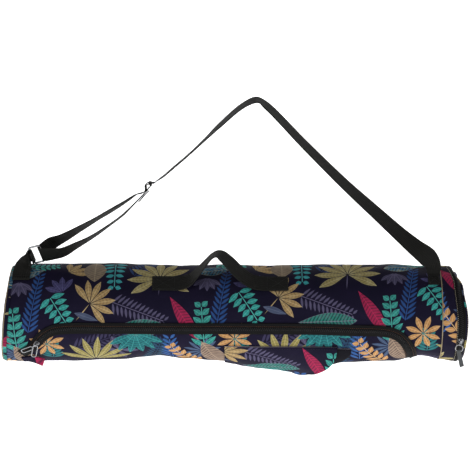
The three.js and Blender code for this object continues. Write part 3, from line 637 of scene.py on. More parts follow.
@dataclass(frozen=True)
class LeafPrint:
    """Printed cotton canvas: leaves in many colours on dark navy, matte with a fine weave."""

    name: str = "leaf_print"
    repeat_u: float = 280
    repeat_v: float = 234
    ground: tuple[str, str] = ("#0d0e22", "#1c1431")
    backs: tuple[tuple[float, float, float, str], ...] = (
        (190, 30, 60, "#27406e"),
        (100, 150, 20, "#3b3756"),
        (250, 160, 150, "#223a5e"),
        (40, 215, 10, "#3a3352"),
        (210, 215, 75, "#244a62"),
    )
    weave: float = 0.7
    roughness: float = 0.78
    stalk: float = 1.4
    sharpness: float = 2.2
    comb_dark: str = "#1b2238"

    def place(self, tree: Tree, spot: Socket, plant: Motif) -> bpy.types.Node:
        """Carries a spot on the cloth to a plant's own frame, repeated over the cloth.

        Args:
            tree: The material's nodes.
            spot: The spot in mm, with v upwards.
            plant: The plant.

        Returns:
            The node that gives x along the plant's heading and y to its left.
        """
        turn = plant.heading * DEGREE
        run = plant.pitch * plant.count * 0.55 if plant.growth is Growth.SPRIG else plant.long * 0.5
        run = 0.0 if plant.growth is Growth.FAN and plant.count * plant.pitch > 200 else run
        middle = Vector((plant.u + run * math.cos(turn), -plant.v + run * math.sin(turn), 0))
        half = (self.repeat_u / 2, self.repeat_v / 2, 1)
        back = (run * math.cos(turn), run * math.sin(turn), 0)
        maths = "ShaderNodeVectorMath"
        moved = add_node(tree, maths, {"operation": "SUBTRACT"}, {0: spot, 1: tuple(middle)})
        limits = {0: moved.outputs[0], 1: half, 2: tuple(-h for h in half)}
        wrapped = add_node(tree, maths, {"operation": "WRAP"}, limits)
        rooted = add_node(tree, maths, {"operation": "ADD"}, {0: wrapped.outputs[0], 1: back})
        turning = {"Vector": rooted.outputs[0], "Angle": -turn}
        turned = add_node(tree, "ShaderNodeVectorRotate", {"rotation_type": "Z_AXIS"}, turning)
        return add_node(tree, "ShaderNodeSeparateXYZ", None, {0: turned.outputs[0]})

    def leaflets(self, tree: Tree, spot: Socket, plant: Motif) -> dict[str, object]:
        """Works out how far along and beside the nearest leaflet a spot is.

        Args:
            tree: The material's nodes.
            spot: The spot in mm, with v upwards.
            plant: The plant.

        Returns:
            The values by name: share along the leaflet, side in mm and reach.
        """
        split = self.place(tree, spot, plant)
        known: dict[str, object] = {"x": split.outputs[0], "y": split.outputs[1]}
        last = plant.count - 1
        if plant.growth is Growth.FAN:
            half = last / 2
            rows = (
                ("angle", "ARCTAN2", "y", "x"),
                ("step", "MULTIPLY_ADD", "angle", 1 / (plant.pitch * DEGREE), half),
                ("whole", "ROUND", "step"),
                ("low", "MAXIMUM", "whole", 0.0),
                ("leaf", "MINIMUM", "low", float(last)),
                ("turn", "MULTIPLY_ADD", "leaf", -plant.pitch * DEGREE, half * plant.pitch * DEGREE),
                ("off", "ADD", "angle", "turn"),
                ("xx", "MULTIPLY", "x", "x"),
                ("rr", "MULTIPLY_ADD", "y", "y", "xx"),
                ("r", "SQRT", "rr"),
                ("cos", "COSINE", "off"),
                ("sin", "SINE", "off"),
                ("t", "MULTIPLY", "r", "cos"),
                ("side", "MULTIPLY", "r", "sin"),
                ("share", "DIVIDE!", "t", plant.long),
            )
        else:
            lean = plant.lean * DEGREE
            rows = (
                ("up", "ABSOLUTE", "y"),
                ("skewed", "MULTIPLY_ADD", "up", -1 / math.tan(lean), "x"),
                ("step", "DIVIDE", "skewed", plant.pitch),
                ("whole", "ROUND", "step"),
                ("low", "MAXIMUM", "whole", 0.0),
                ("leaf", "MINIMUM", "low", float(last)),
                ("dx", "MULTIPLY_ADD", "leaf", -plant.pitch, "x"),
                ("t0", "MULTIPLY", "dx", math.cos(lean)),
                ("t1", "MULTIPLY_ADD", "up", math.sin(lean), "t0"),
                ("t", "SUBTRACT", "t1", self.stalk),
                ("s0", "MULTIPLY", "dx", -math.sin(lean)),
                ("side", "MULTIPLY_ADD", "up", math.cos(lean), "s0"),
                ("size", "MULTIPLY_ADD", "leaf", -plant.long * plant.taper / max(last, 1), plant.long),
                ("share", "DIVIDE!", "t", "size"),
                ("near", "COMPARE", "x", last * plant.pitch / 2, last * plant.pitch / 2),
                ("thin", "SUBTRACT", 0.75, "up"),
                ("line", "MULTIPLY!", "thin", self.sharpness),
                ("stem", "MULTIPLY", "line", "near"),
            )
        return work_out(tree, known, rows)

    def lay(self, tree: Tree, spot: Socket, wash: Socket, below: Socket, plant: Motif) -> Socket:
        """Prints a plant over the colours laid so far.

        Args:
            tree: The material's nodes.
            spot: The spot in mm, with v upwards.
            wash: Unevenness of the ink, about 0 to 1.
            below: The colours so far.
            plant: The plant.

        Returns:
            The colours with the plant.
        """
        known = self.leaflets(tree, spot, plant)
        known["wash"] = wash
        known.setdefault("stem", 0.0)
        rows = [
            ("bent", "POWER", "share", 0.85 if plant.growth is Growth.SPRIG or plant.count == 1 else 1.35),
            ("arc", "MULTIPLY", "bent", math.pi),
            ("lens", "SINE", "arc"),
            ("half", "MULTIPLY", "lens", plant.wide / 2),
            ("beside", "ABSOLUTE", "side"),
            ("inside", "SUBTRACT", "half", "beside"),
            ("blade", "MULTIPLY!", "inside", self.sharpness),
            ("fill", "MAXIMUM", "blade", "stem"),
            ("rim", "MULTIPLY!", "inside", 1.1 if plant.wide > 7 else 1.6),
            ("vein", "MULTIPLY!", "beside", 1.6),
            ("body", "MULTIPLY", "rim", "vein"),
            ("tone", "MULTIPLY_ADD", "wash", 1.3, 0.3),
            ("ink", "MULTIPLY!", "body", "tone"),
        ]
        if plant.stripe:
            rows += [
                ("slant", "MULTIPLY_ADD", "beside", 0.55, "t"),
                ("wave", "MULTIPLY", "slant", 1.25),
                ("comb", "SINE", "wave"),
                ("dark", "MULTIPLY_ADD!", "comb", -plant.stripe, 1 - plant.stripe * 0.2),
                ("keep", "MAXIMUM", "dark", 0.25),
                ("ink2", "MULTIPLY", "ink", "keep"),
            ]
        known = work_out(tree, known, rows)
        if plant.stripe:
            combed = {0: known["keep"], 6: srgb(self.comb_dark), 7: srgb(plant.colour.fill)}
            dark = add_node(tree, "ShaderNodeMix", COLOUR_MIX, combed).outputs[2]
        else:
            dark = srgb(plant.colour.fill)
        edge = srgb(plant.colour.edge)
        ink = add_node(tree, "ShaderNodeMix", COLOUR_MIX, {0: known["ink"], 6: edge, 7: dark}).outputs[2]
        return add_node(tree, "ShaderNodeMix", COLOUR_MIX, {0: known["fill"], 6: below, 7: ink}).outputs[2]

    def build(self) -> Material:
        """Makes the printed canvas."""
        material = bpy.data.materials.new(self.name)
        material.use_nodes = True
        tree = material.node_tree
        shader = tree.nodes["Principled BSDF"]
        chart = add_node(tree, "ShaderNodeUVMap", {"uv_map": "UVMap"})
        in_mm = {0: chart.outputs[0], 1: (1 / MM, -1 / MM, 0)}
        spot = add_node(tree, "ShaderNodeVectorMath", {"operation": "MULTIPLY"}, in_mm).outputs[0]
        noises = []
        for scale, detail in ((0.02, 2.0), (0.11, 3.0), (self.weave, 2.0)):
            inputs = {"Vector": spot, "Scale": scale, "Detail": detail}
            noises.append(add_node(tree, "ShaderNodeTexNoise", None, inputs).outputs[0])
        blotch, wash, weave = noises
        grounds = {0: blotch, 6: srgb(self.ground[0]), 7: srgb(self.ground[1])}
        colour = add_node(tree, "ShaderNodeMix", COLOUR_MIX, grounds).outputs[2]
        for u, v, heading, ink in self.backs:
            back = Motif(Growth.SPRIG, u, v, heading, 12, 7, 22, 4.4, Colour(ink, ink), 52)
            colour = self.lay(tree, spot, wash, colour, back)
        for plant in PLANTS:
            colour = self.lay(tree, spot, wash, colour, plant)
        washed = {"Saturation": 0.96, "Value": 1.0, "Color": colour}
        faded = add_node(tree, "ShaderNodeHueSaturation", None, washed)
        relief = {"Strength": 0.25, "Distance": 0.25 * MM, "Height": weave}
        bump = add_node(tree, "ShaderNodeBump", None, relief)
        tree.links.new(faded.outputs[0], shader.inputs["Base Color"])
        tree.links.new(bump.outputs[0], shader.inputs["Normal"])
        shader.inputs["Roughness"].default_value = self.roughness
        shader.inputs["Specular IOR Level"].default_value = 0.12
        return material


@dataclass(frozen=True)
class Plain:
    """A plain finish with an uneven tone and a fine grain.

    The grain's size is in mm. Ribs are set across the piece's UV where rib isn't zero.
    """

    name: str
    colour: str
    roughness: float
    metallic: float = 0.0
    grain: float = 1.0
    relief: float = 0.15
    uneven: float = 0.1
    rib: float = 0.0
    sheen: float = 0.0
    specular: float = 0.5

    def build(self) -> Material:
        """Makes the finish."""
        material = bpy.data.materials.new(self.name)
        material.use_nodes = True
        tree = material.node_tree
        shader = tree.nodes["Principled BSDF"]
        if self.rib:
            chart = add_node(tree, "ShaderNodeUVMap", {"uv_map": "UVMap"})
        else:
            chart = add_node(tree, "ShaderNodeTexCoord")
        source = chart.outputs[0] if self.rib else chart.outputs["Object"]
        scaled = {0: source, 3: 1 / MM}
        spot = add_node(tree, "ShaderNodeVectorMath", {"operation": "SCALE"}, scaled).outputs[0]
        cloud = add_node(tree, "ShaderNodeTexNoise", None, {"Vector": spot, "Scale": 0.09, "Detail": 3.0})
        plain = srgb(self.colour)[:3]
        dark = tuple(c * (1 - self.uneven) for c in plain) + (1.0,)
        light = tuple(min(c * (1 + self.uneven), 1) for c in plain) + (1.0,)
        tone = add_node(tree, "ShaderNodeMix", COLOUR_MIX, {0: cloud.outputs[0], 6: dark, 7: light})
        if self.rib:
            split = add_node(tree, "ShaderNodeSeparateXYZ", None, {0: spot})
            known = {"x": split.outputs[0], "y": split.outputs[1]}
            rows = (
                ("ax", "MULTIPLY", "x", 2 * math.pi / self.rib),
                ("ay", "MULTIPLY", "y", math.pi / self.rib),
                ("sx", "SINE", "ax"),
                ("sy", "SINE", "ay"),
                ("height", "MULTIPLY_ADD", "sx", 0.6, "sy"),
            )
            height = work_out(tree, known, rows)["height"]
        else:
            speckle = {"Vector": spot, "Scale": 1 / self.grain, "Detail": 2.0}
            height = add_node(tree, "ShaderNodeTexNoise", None, speckle).outputs[0]
        relief = {"Strength": self.relief, "Distance": 0.3 * MM, "Height": height}
        bump = add_node(tree, "ShaderNodeBump", None, relief)
        tree.links.new(tone.outputs[2], shader.inputs["Base Color"])
        tree.links.new(bump.outputs[0], shader.inputs["Normal"])
        shader.inputs["Roughness"].default_value = self.roughness
        shader.inputs["Metallic"].default_value = self.metallic
        shader.inputs["Sheen Weight"].default_value = self.sheen
        shader.inputs["Specular IOR Level"].default_value = self.specular
        return material


@dataclass(frozen=True)
class Finishes:
    """Every finish on the bag, each built once.

    Real materials: cotton canvas with a pale unprinted back, polyester webbing, polyester
    zip tape with a nylon coil, nickel-plated die-cast metal, soft PVC and sewing thread.
    """

    canvas: Material
    shadow: Material
    lining: Material
    webbing: Material
    tape: Material
    coil: Material
    nickel: Material
    pull: Material
    black_thread: Material
    tan_thread: Material
    pale_thread: Material
    piping: Material

    @classmethod
    def build(cls) -> "Finishes":
        """Makes every finish."""
        return cls(
            # Ink on cotton canvas stays matte, with a weave that shows only close by.
            canvas=LeafPrint().build(),
            # Painted shade: the same cloth coloured almost black, as it looks with no light on it inside the
            # pocket.
            shadow=Plain("pocket_painted_shade", "#15141b", 0.9, grain=0.8, relief=0.2, specular=0.1).build(),
            # The canvas's unprinted back: pale, cool and matte.
            lining=Plain("lining", "#b9b2be", 0.85, grain=0.8, relief=0.2, specular=0.2).build(),
            # Woven polyester webbing: black with a dull glint on its ribs.
            webbing=Plain("webbing", "#1d1d1b", 0.75, rib=1.7, relief=0.7, uneven=0.2, specular=0.2).build(),
            # Zip tape is woven finer and flatter, so it is blacker.
            tape=Plain("zip_tape", "#121213", 0.75, rib=1.0, relief=0.4, specular=0.15).build(),
            # A moulded nylon coil is smooth enough for small grey highlights.
            coil=Plain("zip_coil", "#1e1e20", 0.45, grain=2.0, relief=0.05, specular=0.35).build(),
            # Nickel-plated die-cast zinc: bright grey with a slightly blurred gloss.
            nickel=Plain("nickel", "#a2a3a6", 0.27, 1.0, grain=3.0, relief=0.04, uneven=0.05).build(),
            # Moulded soft PVC: mid grey, satin.
            pull=Plain("soft_pull", "#4a4d50", 0.55, grain=1.2, relief=0.1).build(),
            # Spun polyester thread: matte, a little lighter than the cloth it is sewn in.
            black_thread=Plain("black_thread", "#303031", 0.6, grain=0.3, specular=0.3).build(),
            tan_thread=Plain("tan_thread", "#74503d", 0.7, grain=0.3, specular=0.2).build(),
            pale_thread=Plain("pale_thread", "#cfc4ae", 0.7, grain=0.3).build(),
            # Folded canvas tape, rubbed and unevenly toned.
            piping=Plain("piping", "#a3947a", 0.8, grain=0.6, relief=0.3, uneven=0.6, specular=0.2).build(),
        )


@dataclass
class Key:
    """A place that a web runs through, with the direction across it and a share of its width."""

    centre: Vector
    across: Vector
    share: float = 1.0


@dataclass
class Ribbon:
    """A length of flat webbing that runs smoothly through its keys."""

    keys: list[Key]
    width: float
    thickness: float = 1.5

    def __post_init__(self) -> None:
        """Fits the two curves that the web follows."""
        self.centres = SmoothPath([key.centre for key in self.keys])
        self.acrosses = SmoothPath([key.across for key in self.keys], 0.4)

    def frame_at(self, share: float) -> tuple[Vector, Vector, Vector, Vector, float]:
        """Finds the web's frame.

        Args:
            share: The place, as a share of the keys.

        Returns:
            The centre, the directions along, across and through, and the width in mm.
        """
        along = self.centres.heading(share)
        across = self.acrosses.at(share)
        across = (across - along * across.dot(along)).normalized()
        place = share * (len(self.keys) - 1)
        low = min(int(place), len(self.keys) - 2)
        wide = self.keys[low].share + (self.keys[low + 1].share - self.keys[low].share) * (place - low)
        return self.centres.at(share), along, across, along.cross(across), self.width * wide

    def on(self, share: float, side: float, lift: float = 0.0) -> Vector:
        """A point on the web: side is -0.5 to 0.5 of its width, lift is in mm."""
        centre, _, across, through, wide = self.frame_at(share)
        return centre + across * (side * wide) + through * lift

    def build(self, name: str, material: Material, nodes: Sequence[str], per_key: int = 6) -> None:
        """Makes the web.

        Args:
            name: The piece's name.
            material: Its finish.
            nodes: The frame's nodes that it stands for.
            per_key: Faces along it from key to key.
        """
        columns = (len(self.keys) - 1) * per_key
        marks = [self.centres.at(i / columns) for i in range(columns + 1)]
        runs = [0.0]
        for before, after in zip(marks, marks[1:]):
            runs.append(runs[-1] + (after - before).length * MM)

        def place(a: float, b: float) -> Vector:
            """A point of the web."""
            return self.on(a, b - 0.5)

        def chart(a: float, b: float) -> Spot:
            """The real distances along and across the web, in metres."""
            return runs[round(a * columns)], b * self.width * MM

        bm = mapped_grid(columns, 6, place, chart)
        made = make_piece(name, bm, [material], nodes)
        add_wall(made, self.thickness, 0.0)
        round_edges(made, 0.35, 2)

    def outer_lift(self, share: float, outwards: Vector, lift: float) -> float:
        """The lift that stands a stitch on the web's outer face at a share of the keys."""
        return lift if self.frame_at(share)[3].dot(outwards) > 0 else -lift

    def crossed_box(self, start: float, end: float, side: float, pitch: float, lift: float) -> list[Matrix]:
        """Places the stitches of a sewn box with a cross in it.

        Args:
            start: The box's first side, as a share of the keys.
            end: Its last side.
            side: Its long sides, as a share of the width.
            pitch: From stitch to stitch in mm.
            lift: How far above the web's middle, in mm.

        Returns:
            A transform for each stitch.
        """
        box = [(start, -side), (end, -side), (end, side), (start, side), (start, -side)]
        found = self.stitches(box, pitch, lift)
        found += self.stitches([(start, -side), (end, side)], pitch, lift)
        return found + self.stitches([(start, side), (end, -side)], pitch, lift)

    def stitches(self, line: Sequence[tuple[float, float]], pitch: float, lift: float) -> list[Matrix]:
        """Places stitches along a line on the web.

        Args:
            line: Corners of the line as shares of the keys and of the width.
            pitch: From stitch to stitch in mm.
            lift: How far above the web's middle, in mm.

        Returns:
            A transform for each stitch.
        """
        found: list[Matrix] = []
        for (a0, b0), (a1, b1) in zip(line, line[1:]):
            start, end = self.on(a0, b0, lift), self.on(a1, b1, lift)
            number = max(int((end - start).length / pitch), 1)
            for i in range(number):
                t = (i + 0.5) / number
                share = a0 + (a1 - a0) * t
                here = self.on(share, b0 + (b1 - b0) * t, lift)
                through = self.frame_at(share)[3] * (1 if lift >= 0 else -1)
                along = (end - start).normalized()
                along = (along - through * along.dot(through)).normalized()
                found.append(basis(here, along, through.cross(along), through))
        return found


def beads(
    name: str,
    places: Iterable[Matrix],
    material: Material,
    size: tuple[float, float, float],
) -> None:
    """Makes a row of small rounded shapes, such as stitches or teeth.

    Args:
        name: The piece's name.
        places: A transform for each of them.
        material: Their finish.
        size: Along X, Y and Z, in mm.
    """
    bm = bmesh.new()
    bmesh.ops.create_icosphere(bm, subdivisions=1, radius=0.5 * MM)
    bmesh.ops.scale(bm, vec=size, verts=bm.verts)
    make_piece(name, scatter(bm, places), [material])


def thread(name: str, places: Iterable[Matrix], material: Material, long: float, thick: float) -> None:
    """Sews a row of stitches that are long along X, with both sizes in mm."""
    beads(name, places, material, (long, thick, thick * 0.8))


def closed_teeth(name: str, places: Iterable[Matrix], material: Material) -> None:
    """Makes a zip's closed teeth, each a rib across the zip."""
    beads(name, places, material, (1.15, 3.4, 1.3))


def wire_loop(
    length: float, width: float, corner: float, wire: float, place: Matrix, along: int = 72
) -> Mesh:
    """Bends a closed loop of round wire: a rectangle with round corners.

    Args:
        length: Between the middles of its short sides, in mm.
        width: Between the middles of its long sides, in mm.
        corner: The bend's radius in mm.
        wire: The wire's thickness in mm.
        place: Carries X along, Y across and Z out of its plane; in metres.
        along: Faces along the loop.

    Returns:
        The loop's mesh, in metres.
    """
    half = Vector((length / 2 - corner, width / 2 - corner, 0))
    straight = (2 * half.x, 2 * half.y)
    arc = corner * math.pi / 2
    total = 2 * (straight[0] + straight[1]) + 4 * arc

    def middle(share: float) -> tuple[Vector, Vector]:
        """Finds the wire's middle.

        Args:
            share: The share of the loop's length.

        Returns:
            The point in mm and the way out of the loop there.
        """
        run = (share % 1.0) * total
        at = Vector((half.x + corner, -half.y, 0))
        heading = 90.0
        for side in range(4):
            flat = straight[1] if side % 2 == 0 else straight[0]
            way = Vector((math.cos(heading * DEGREE), math.sin(heading * DEGREE), 0))
            out = Vector((way.y, -way.x, 0))
            if run <= flat:
                return at + way * run, out
            run -= flat
            at = at + way * flat
            if run <= arc or side == 3:
                angle = run / corner
                turned = out * math.cos(angle) + way * math.sin(angle)
                return at - out * corner + turned * corner, turned
            run -= arc
            at = at - out * corner + way * corner
            heading += 90
        return at, Vector((1, 0, 0))

    def spot(a: float, b: float) -> Vector:
        """A point on the wire's surface."""
        centre, out = middle(a)
        angle = b * 2 * math.pi
        return centre + out * (wire / 2 * math.cos(angle)) + Vector((0, 0, wire / 2 * math.sin(angle)))

    bm = mapped_grid(along, 12, spot)
    bmesh.ops.transform(bm, matrix=place, verts=bm.verts)
    bmesh.ops.recalc_face_normals(bm, faces=bm.faces)
    return bm


@dataclass(frozen=True)
class HeldPatch:
    """Cloth held flat by what is sewn on it: from and to along, and from and to in degrees round."""

    left: float
    right: float
    upper: float
    lower: float


@dataclass
class PrintedShell:
    """The bag's body: the main tube, its two ends, the right band and the piping."""

    form: BagForm
    finishes: Finishes
    cap_corner: float = 3.5
    cap_dome: float = 2.0
    cap_turn: float = 0.1
    panel_dome: float = 4.5
    panel_turn: float = 0.16
    seam_pucker: float = 1.35
    rim_pucker: float = 1.17
    pucker_rise: float = 5
    broad_dent: float = 1.1
    slant_dent: float = 0.9
    sink: float = 0.35
    rim_seam: float = 12
    zip_half: float = 9.5
    held_margin: float = 9
    held_turn: float = 6
    panel_print: Spot = (62, -250)
    flap_print: Spot = (165, -190)
    left_piping: float = 1.7
    right_piping: float = 1.5
    held: tuple[HeldPatch, ...] = (
        HeldPatch(-150, -90, 28, 56),
        HeldPatch(0, 62, 28, 56),
        HeldPatch(-42, 0, 112, 222),
        HeldPatch(0, 134, 110, 222),
        HeldPatch(256, 290, 24, 52),
    )

    def quiet(self, x: float, around: float) -> float:
        """Finds how free the cloth is to crease.

        Args:
            x: Along the bag in mm.
            around: Degrees from the top to the front.

        Returns:
            From 0 under what is sewn on it to 1.
        """
        free = 1.0
        for patch in self.held:
            along = max(patch.left - x, x - patch.right, 0) / self.held_margin
            turn = max(patch.upper - around, around - patch.lower, 0) / self.held_turn
            free *= min(1.0, math.hypot(along, turn))
        return free

    def puckers(self, height: float, off: float, fade: float) -> float:
        """The height of the puckers off mm from a seam, which die away over fade mm."""
        off = max(off, 0)
        return height * math.exp(-off / fade) * min(off / self.pucker_rise, 1)

    def crease(self, x: float, around: float) -> float:
        """Finds the height of the cloth's small creases.

        Puckers run off the long zip, the right seam and the left rim, and shallow dents
        lie between them.

        Args:
            x: Along the bag in mm.
            around: Degrees from the top to the front.

        Returns:
            The height in mm.
        """
        arc = self.form.radius * DEGREE
        from_seam = self.form.seam - x
        from_rim = x - self.form.left_rim - self.rim_seam
        ripple = noise.noise(Vector((x * 0.012, around * arc * 0.11, 9)))
        waves = self.puckers(self.seam_pucker * ripple, from_seam, 22)
        waves += self.puckers(self.rim_pucker * ripple, from_rim, 20)
        on_zip = 1.0
        zip_line = LongZip.around_at(x)
        if zip_line > 0:
            off = abs(around - zip_line) * arc - self.zip_half
            ripple = noise.noise(Vector((x * 0.075, around * 0.012, 3)))
            waves += self.puckers(self.seam_pucker * ripple, off, 20)
            on_zip = min(max(off / 6, 0), 1)
        broad = noise.noise(Vector((x * 0.02, around * 0.03, 1)))
        slant = noise.noise(Vector(((x + around * arc * 0.7) * 0.045, (x - around * arc) * 0.012, 5)))
        edge = min(max(min(from_seam, from_rim) / self.rim_seam, 0), 1)
        waves += (self.broad_dent * broad + self.slant_dent * slant) * edge
        return (waves - self.sink) * self.quiet(x, around) * on_zip

    def panel(self, name: str, bm: Mesh, node: str) -> None:
        """Makes a printed panel with its unprinted back.

        Args:
            name: The piece's name.
            bm: Its printed face, in metres, which is used up.
            node: The frame's node that it stands for.
        """
        face_away(bm, self.form.axis_point)
        cloths = [self.finishes.canvas, self.finishes.lining]
        add_wall(make_piece(name, bm, cloths, [node]), self.form.cloth, lining=1)

    def tube(self) -> None:
        """The main tube of printed canvas."""
        form = self.form

        def spot(a: float, b: float) -> Spot:
            """The x and angle of a place on the tube."""
            around = 360 * b - 90
            start = form.left_edge(around) + form.left_corner + GAP
            return start + (form.seam - GAP - start) * a, around

        def place(a: float, b: float) -> Vector:
            """A point of the creased cloth."""
            x, around = spot(a, b % 1.0)
            return form.on(x, around, self.crease(x, around))

        def chart(a: float, b: float) -> Spot:
            """The print's coordinates there."""
            return form.print_chart(*spot(a, b))

        self.panel("body_cloth", mapped_grid(220, 150, place, chart), "body_tube")

    def band(self) -> None:
        """The printed band between the right seam and the round zip."""
        form = self.form

        def spot(a: float, b: float) -> Spot:
            """The x and angle of a place on the band."""
            around = 360 * b - 90
            start = form.seam + GAP
            return start + (form.band_edge(around) - start) * a, around

        def place(a: float, b: float) -> Vector:
            """A point of the band, which ripples between its seams."""
            x, around = spot(a, b % 1.0)
            ripple = noise.noise(Vector((x * 0.03, around * 0.14, 2)))
            return form.on(x, around, 0.9 * ripple * math.sin(math.pi * a))

        def chart(a: float, b: float) -> Spot:
            """The print's coordinates there: the band was cut from another place."""
            return form.print_chart(*spot(a, b), slide=160, turn=50)

        self.panel("right_band", mapped_grid(10, 150, place, chart), "end_band")

    def rolled_rim(self, a: float, rim: float, corner: float, share: float) -> tuple[float, float, float]:
        """Finds a place on a round end whose rim rolls over.

        Args:
            a: The share of the way from the rim to the middle.
            rim: The rim's radius in mm.
            corner: The roll's radius in mm.
            share: The share of the way that the roll takes.

        Returns:
            The radius in mm, its share of the flat part's, and the roll's sine.
        """
        turn = min(a / share, 1) * 90 * DEGREE
        flat = (a - share) / (1 - share)
        wide = rim - corner
        radius = rim - corner * (1 - math.cos(turn)) if flat < 0 else wide * (1 - flat)
        return radius, min(radius / wide, 1), math.sin(turn)

    def left_end(self) -> None:
        """The panel that closes the left end, rounded at its rim and slightly domed."""
        form = self.form
        corner = form.left_corner

        def place(a: float, b: float) -> Vector:
            """Finds a point of the panel.

            Args:
                a: The share of the way from the rim to the middle.
                b: The share of a turn.

            Returns:
                The point in mm.
            """
            around = 360 * (b % 1.0) - 90
            rim = form.reach(form.left_edge(around) + corner, around)
            radius, near, roll = self.rolled_rim(a, rim, corner, self.panel_turn)
            x = form.left_edge(around) * near + (form.left_rim - form.left_bulge) * (1 - near)
            x += corner * (1 - roll) - self.panel_dome * (1 - near * near)
            ripple = noise.noise(Vector((radius * 0.03, around * 0.06, 7)))
            x += 0.7 * ripple * min((1 - a) * 2, 1) * min(a * 5, 1)
            return form.at_radius(x, around, radius)

        def chart(a: float, b: float) -> Spot:
            """The print's coordinates there, laid flat on the panel."""
            spot = place(a, b)
            return (spot.y + self.panel_print[0]) * MM, (self.panel_print[1] - spot.z) * MM

        self.panel("left_end", mapped_grid(40, 120, place, chart), "left_panel")

    def right_flap(self) -> None:
        """The round flap that the end zip holds."""
        form = self.form
        corner = self.cap_corner

        def place(a: float, b: float) -> Vector:
            """Finds a point of the flap.

            Args:
                a: The share of the way from the rim to the middle.
                b: The share of a turn.

            Returns:
                The point in mm.
            """
            around = 360 * (b % 1.0) - 90
            seat_x, seat = form.on_tape(around, 1.0)
            radius, near, roll = self.rolled_rim(a, seat, corner, self.cap_turn)
            x = seat_x * near + (form.seam + form.band_length + form.tape_width) * (1 - near)
            x += GAP + corner * roll + self.cap_dome * (1 - near * near)
            return form.at_radius(x, around, radius)

        def chart(a: float, b: float) -> Spot:
            """The print's coordinates there, laid flat on the flap."""
            spot = place(a, b)
            return (spot.y + self.flap_print[0]) * MM, (self.flap_print[1] - spot.z) * MM

        self.panel("right_flap", mapped_grid(36, 120, place, chart), "right_cap")

    def cord(self, name: str, thick: float, at: Callable[[float], Spot]) -> None:
        """A thin piping round the bag.

        Args:
            name: The piece's name.
            thick: Its thickness in mm.
            at: Gives x and the radius in mm for an angle.
        """

        def place(a: float, b: float) -> Vector:
            """Finds a point on the piping's surface.

            Args:
                a: The share of a turn of the bag.
                b: The share of a turn of the piping.

            Returns:
                The point in mm.
            """
            around = 360 * (a % 1.0) - 90
            x, radius = at(around)
            along, out = math.cos(b * 2 * math.pi), math.sin(b * 2 * math.pi)
            return self.form.at_radius(x + thick / 2 * along, around, radius + thick / 2 * out)

        bm = mapped_grid(180, 8, place)
        bmesh.ops.recalc_face_normals(bm, faces=bm.faces)
        make_piece(name, bm, [self.finishes.piping])

    def left_seam(self, around: float) -> Spot:
        """The x and radius of the piping where the left panel's round rim ends."""
        edge = self.form.left_edge(around)
        return edge + 1.9, self.form.reach(edge + self.form.left_corner, around) - 2.6

    def right_seam(self, around: float) -> Spot:
        """The x and radius of the piping on the right seam."""
        return self.form.seam, self.form.reach(self.form.seam, around) + 0.1

    def build(self) -> None:
        """Makes the whole shell."""
        self.tube()
        self.band()
        self.left_end()
        self.right_flap()
        self.cord("left_piping", self.left_piping, self.left_seam)
        self.cord("right_piping", self.right_piping, self.right_seam)


@dataclass(frozen=True)
class ZipRow:
    """A place of the long zip's middle line: a share of the length, and degrees round."""

    at: float
    around: float


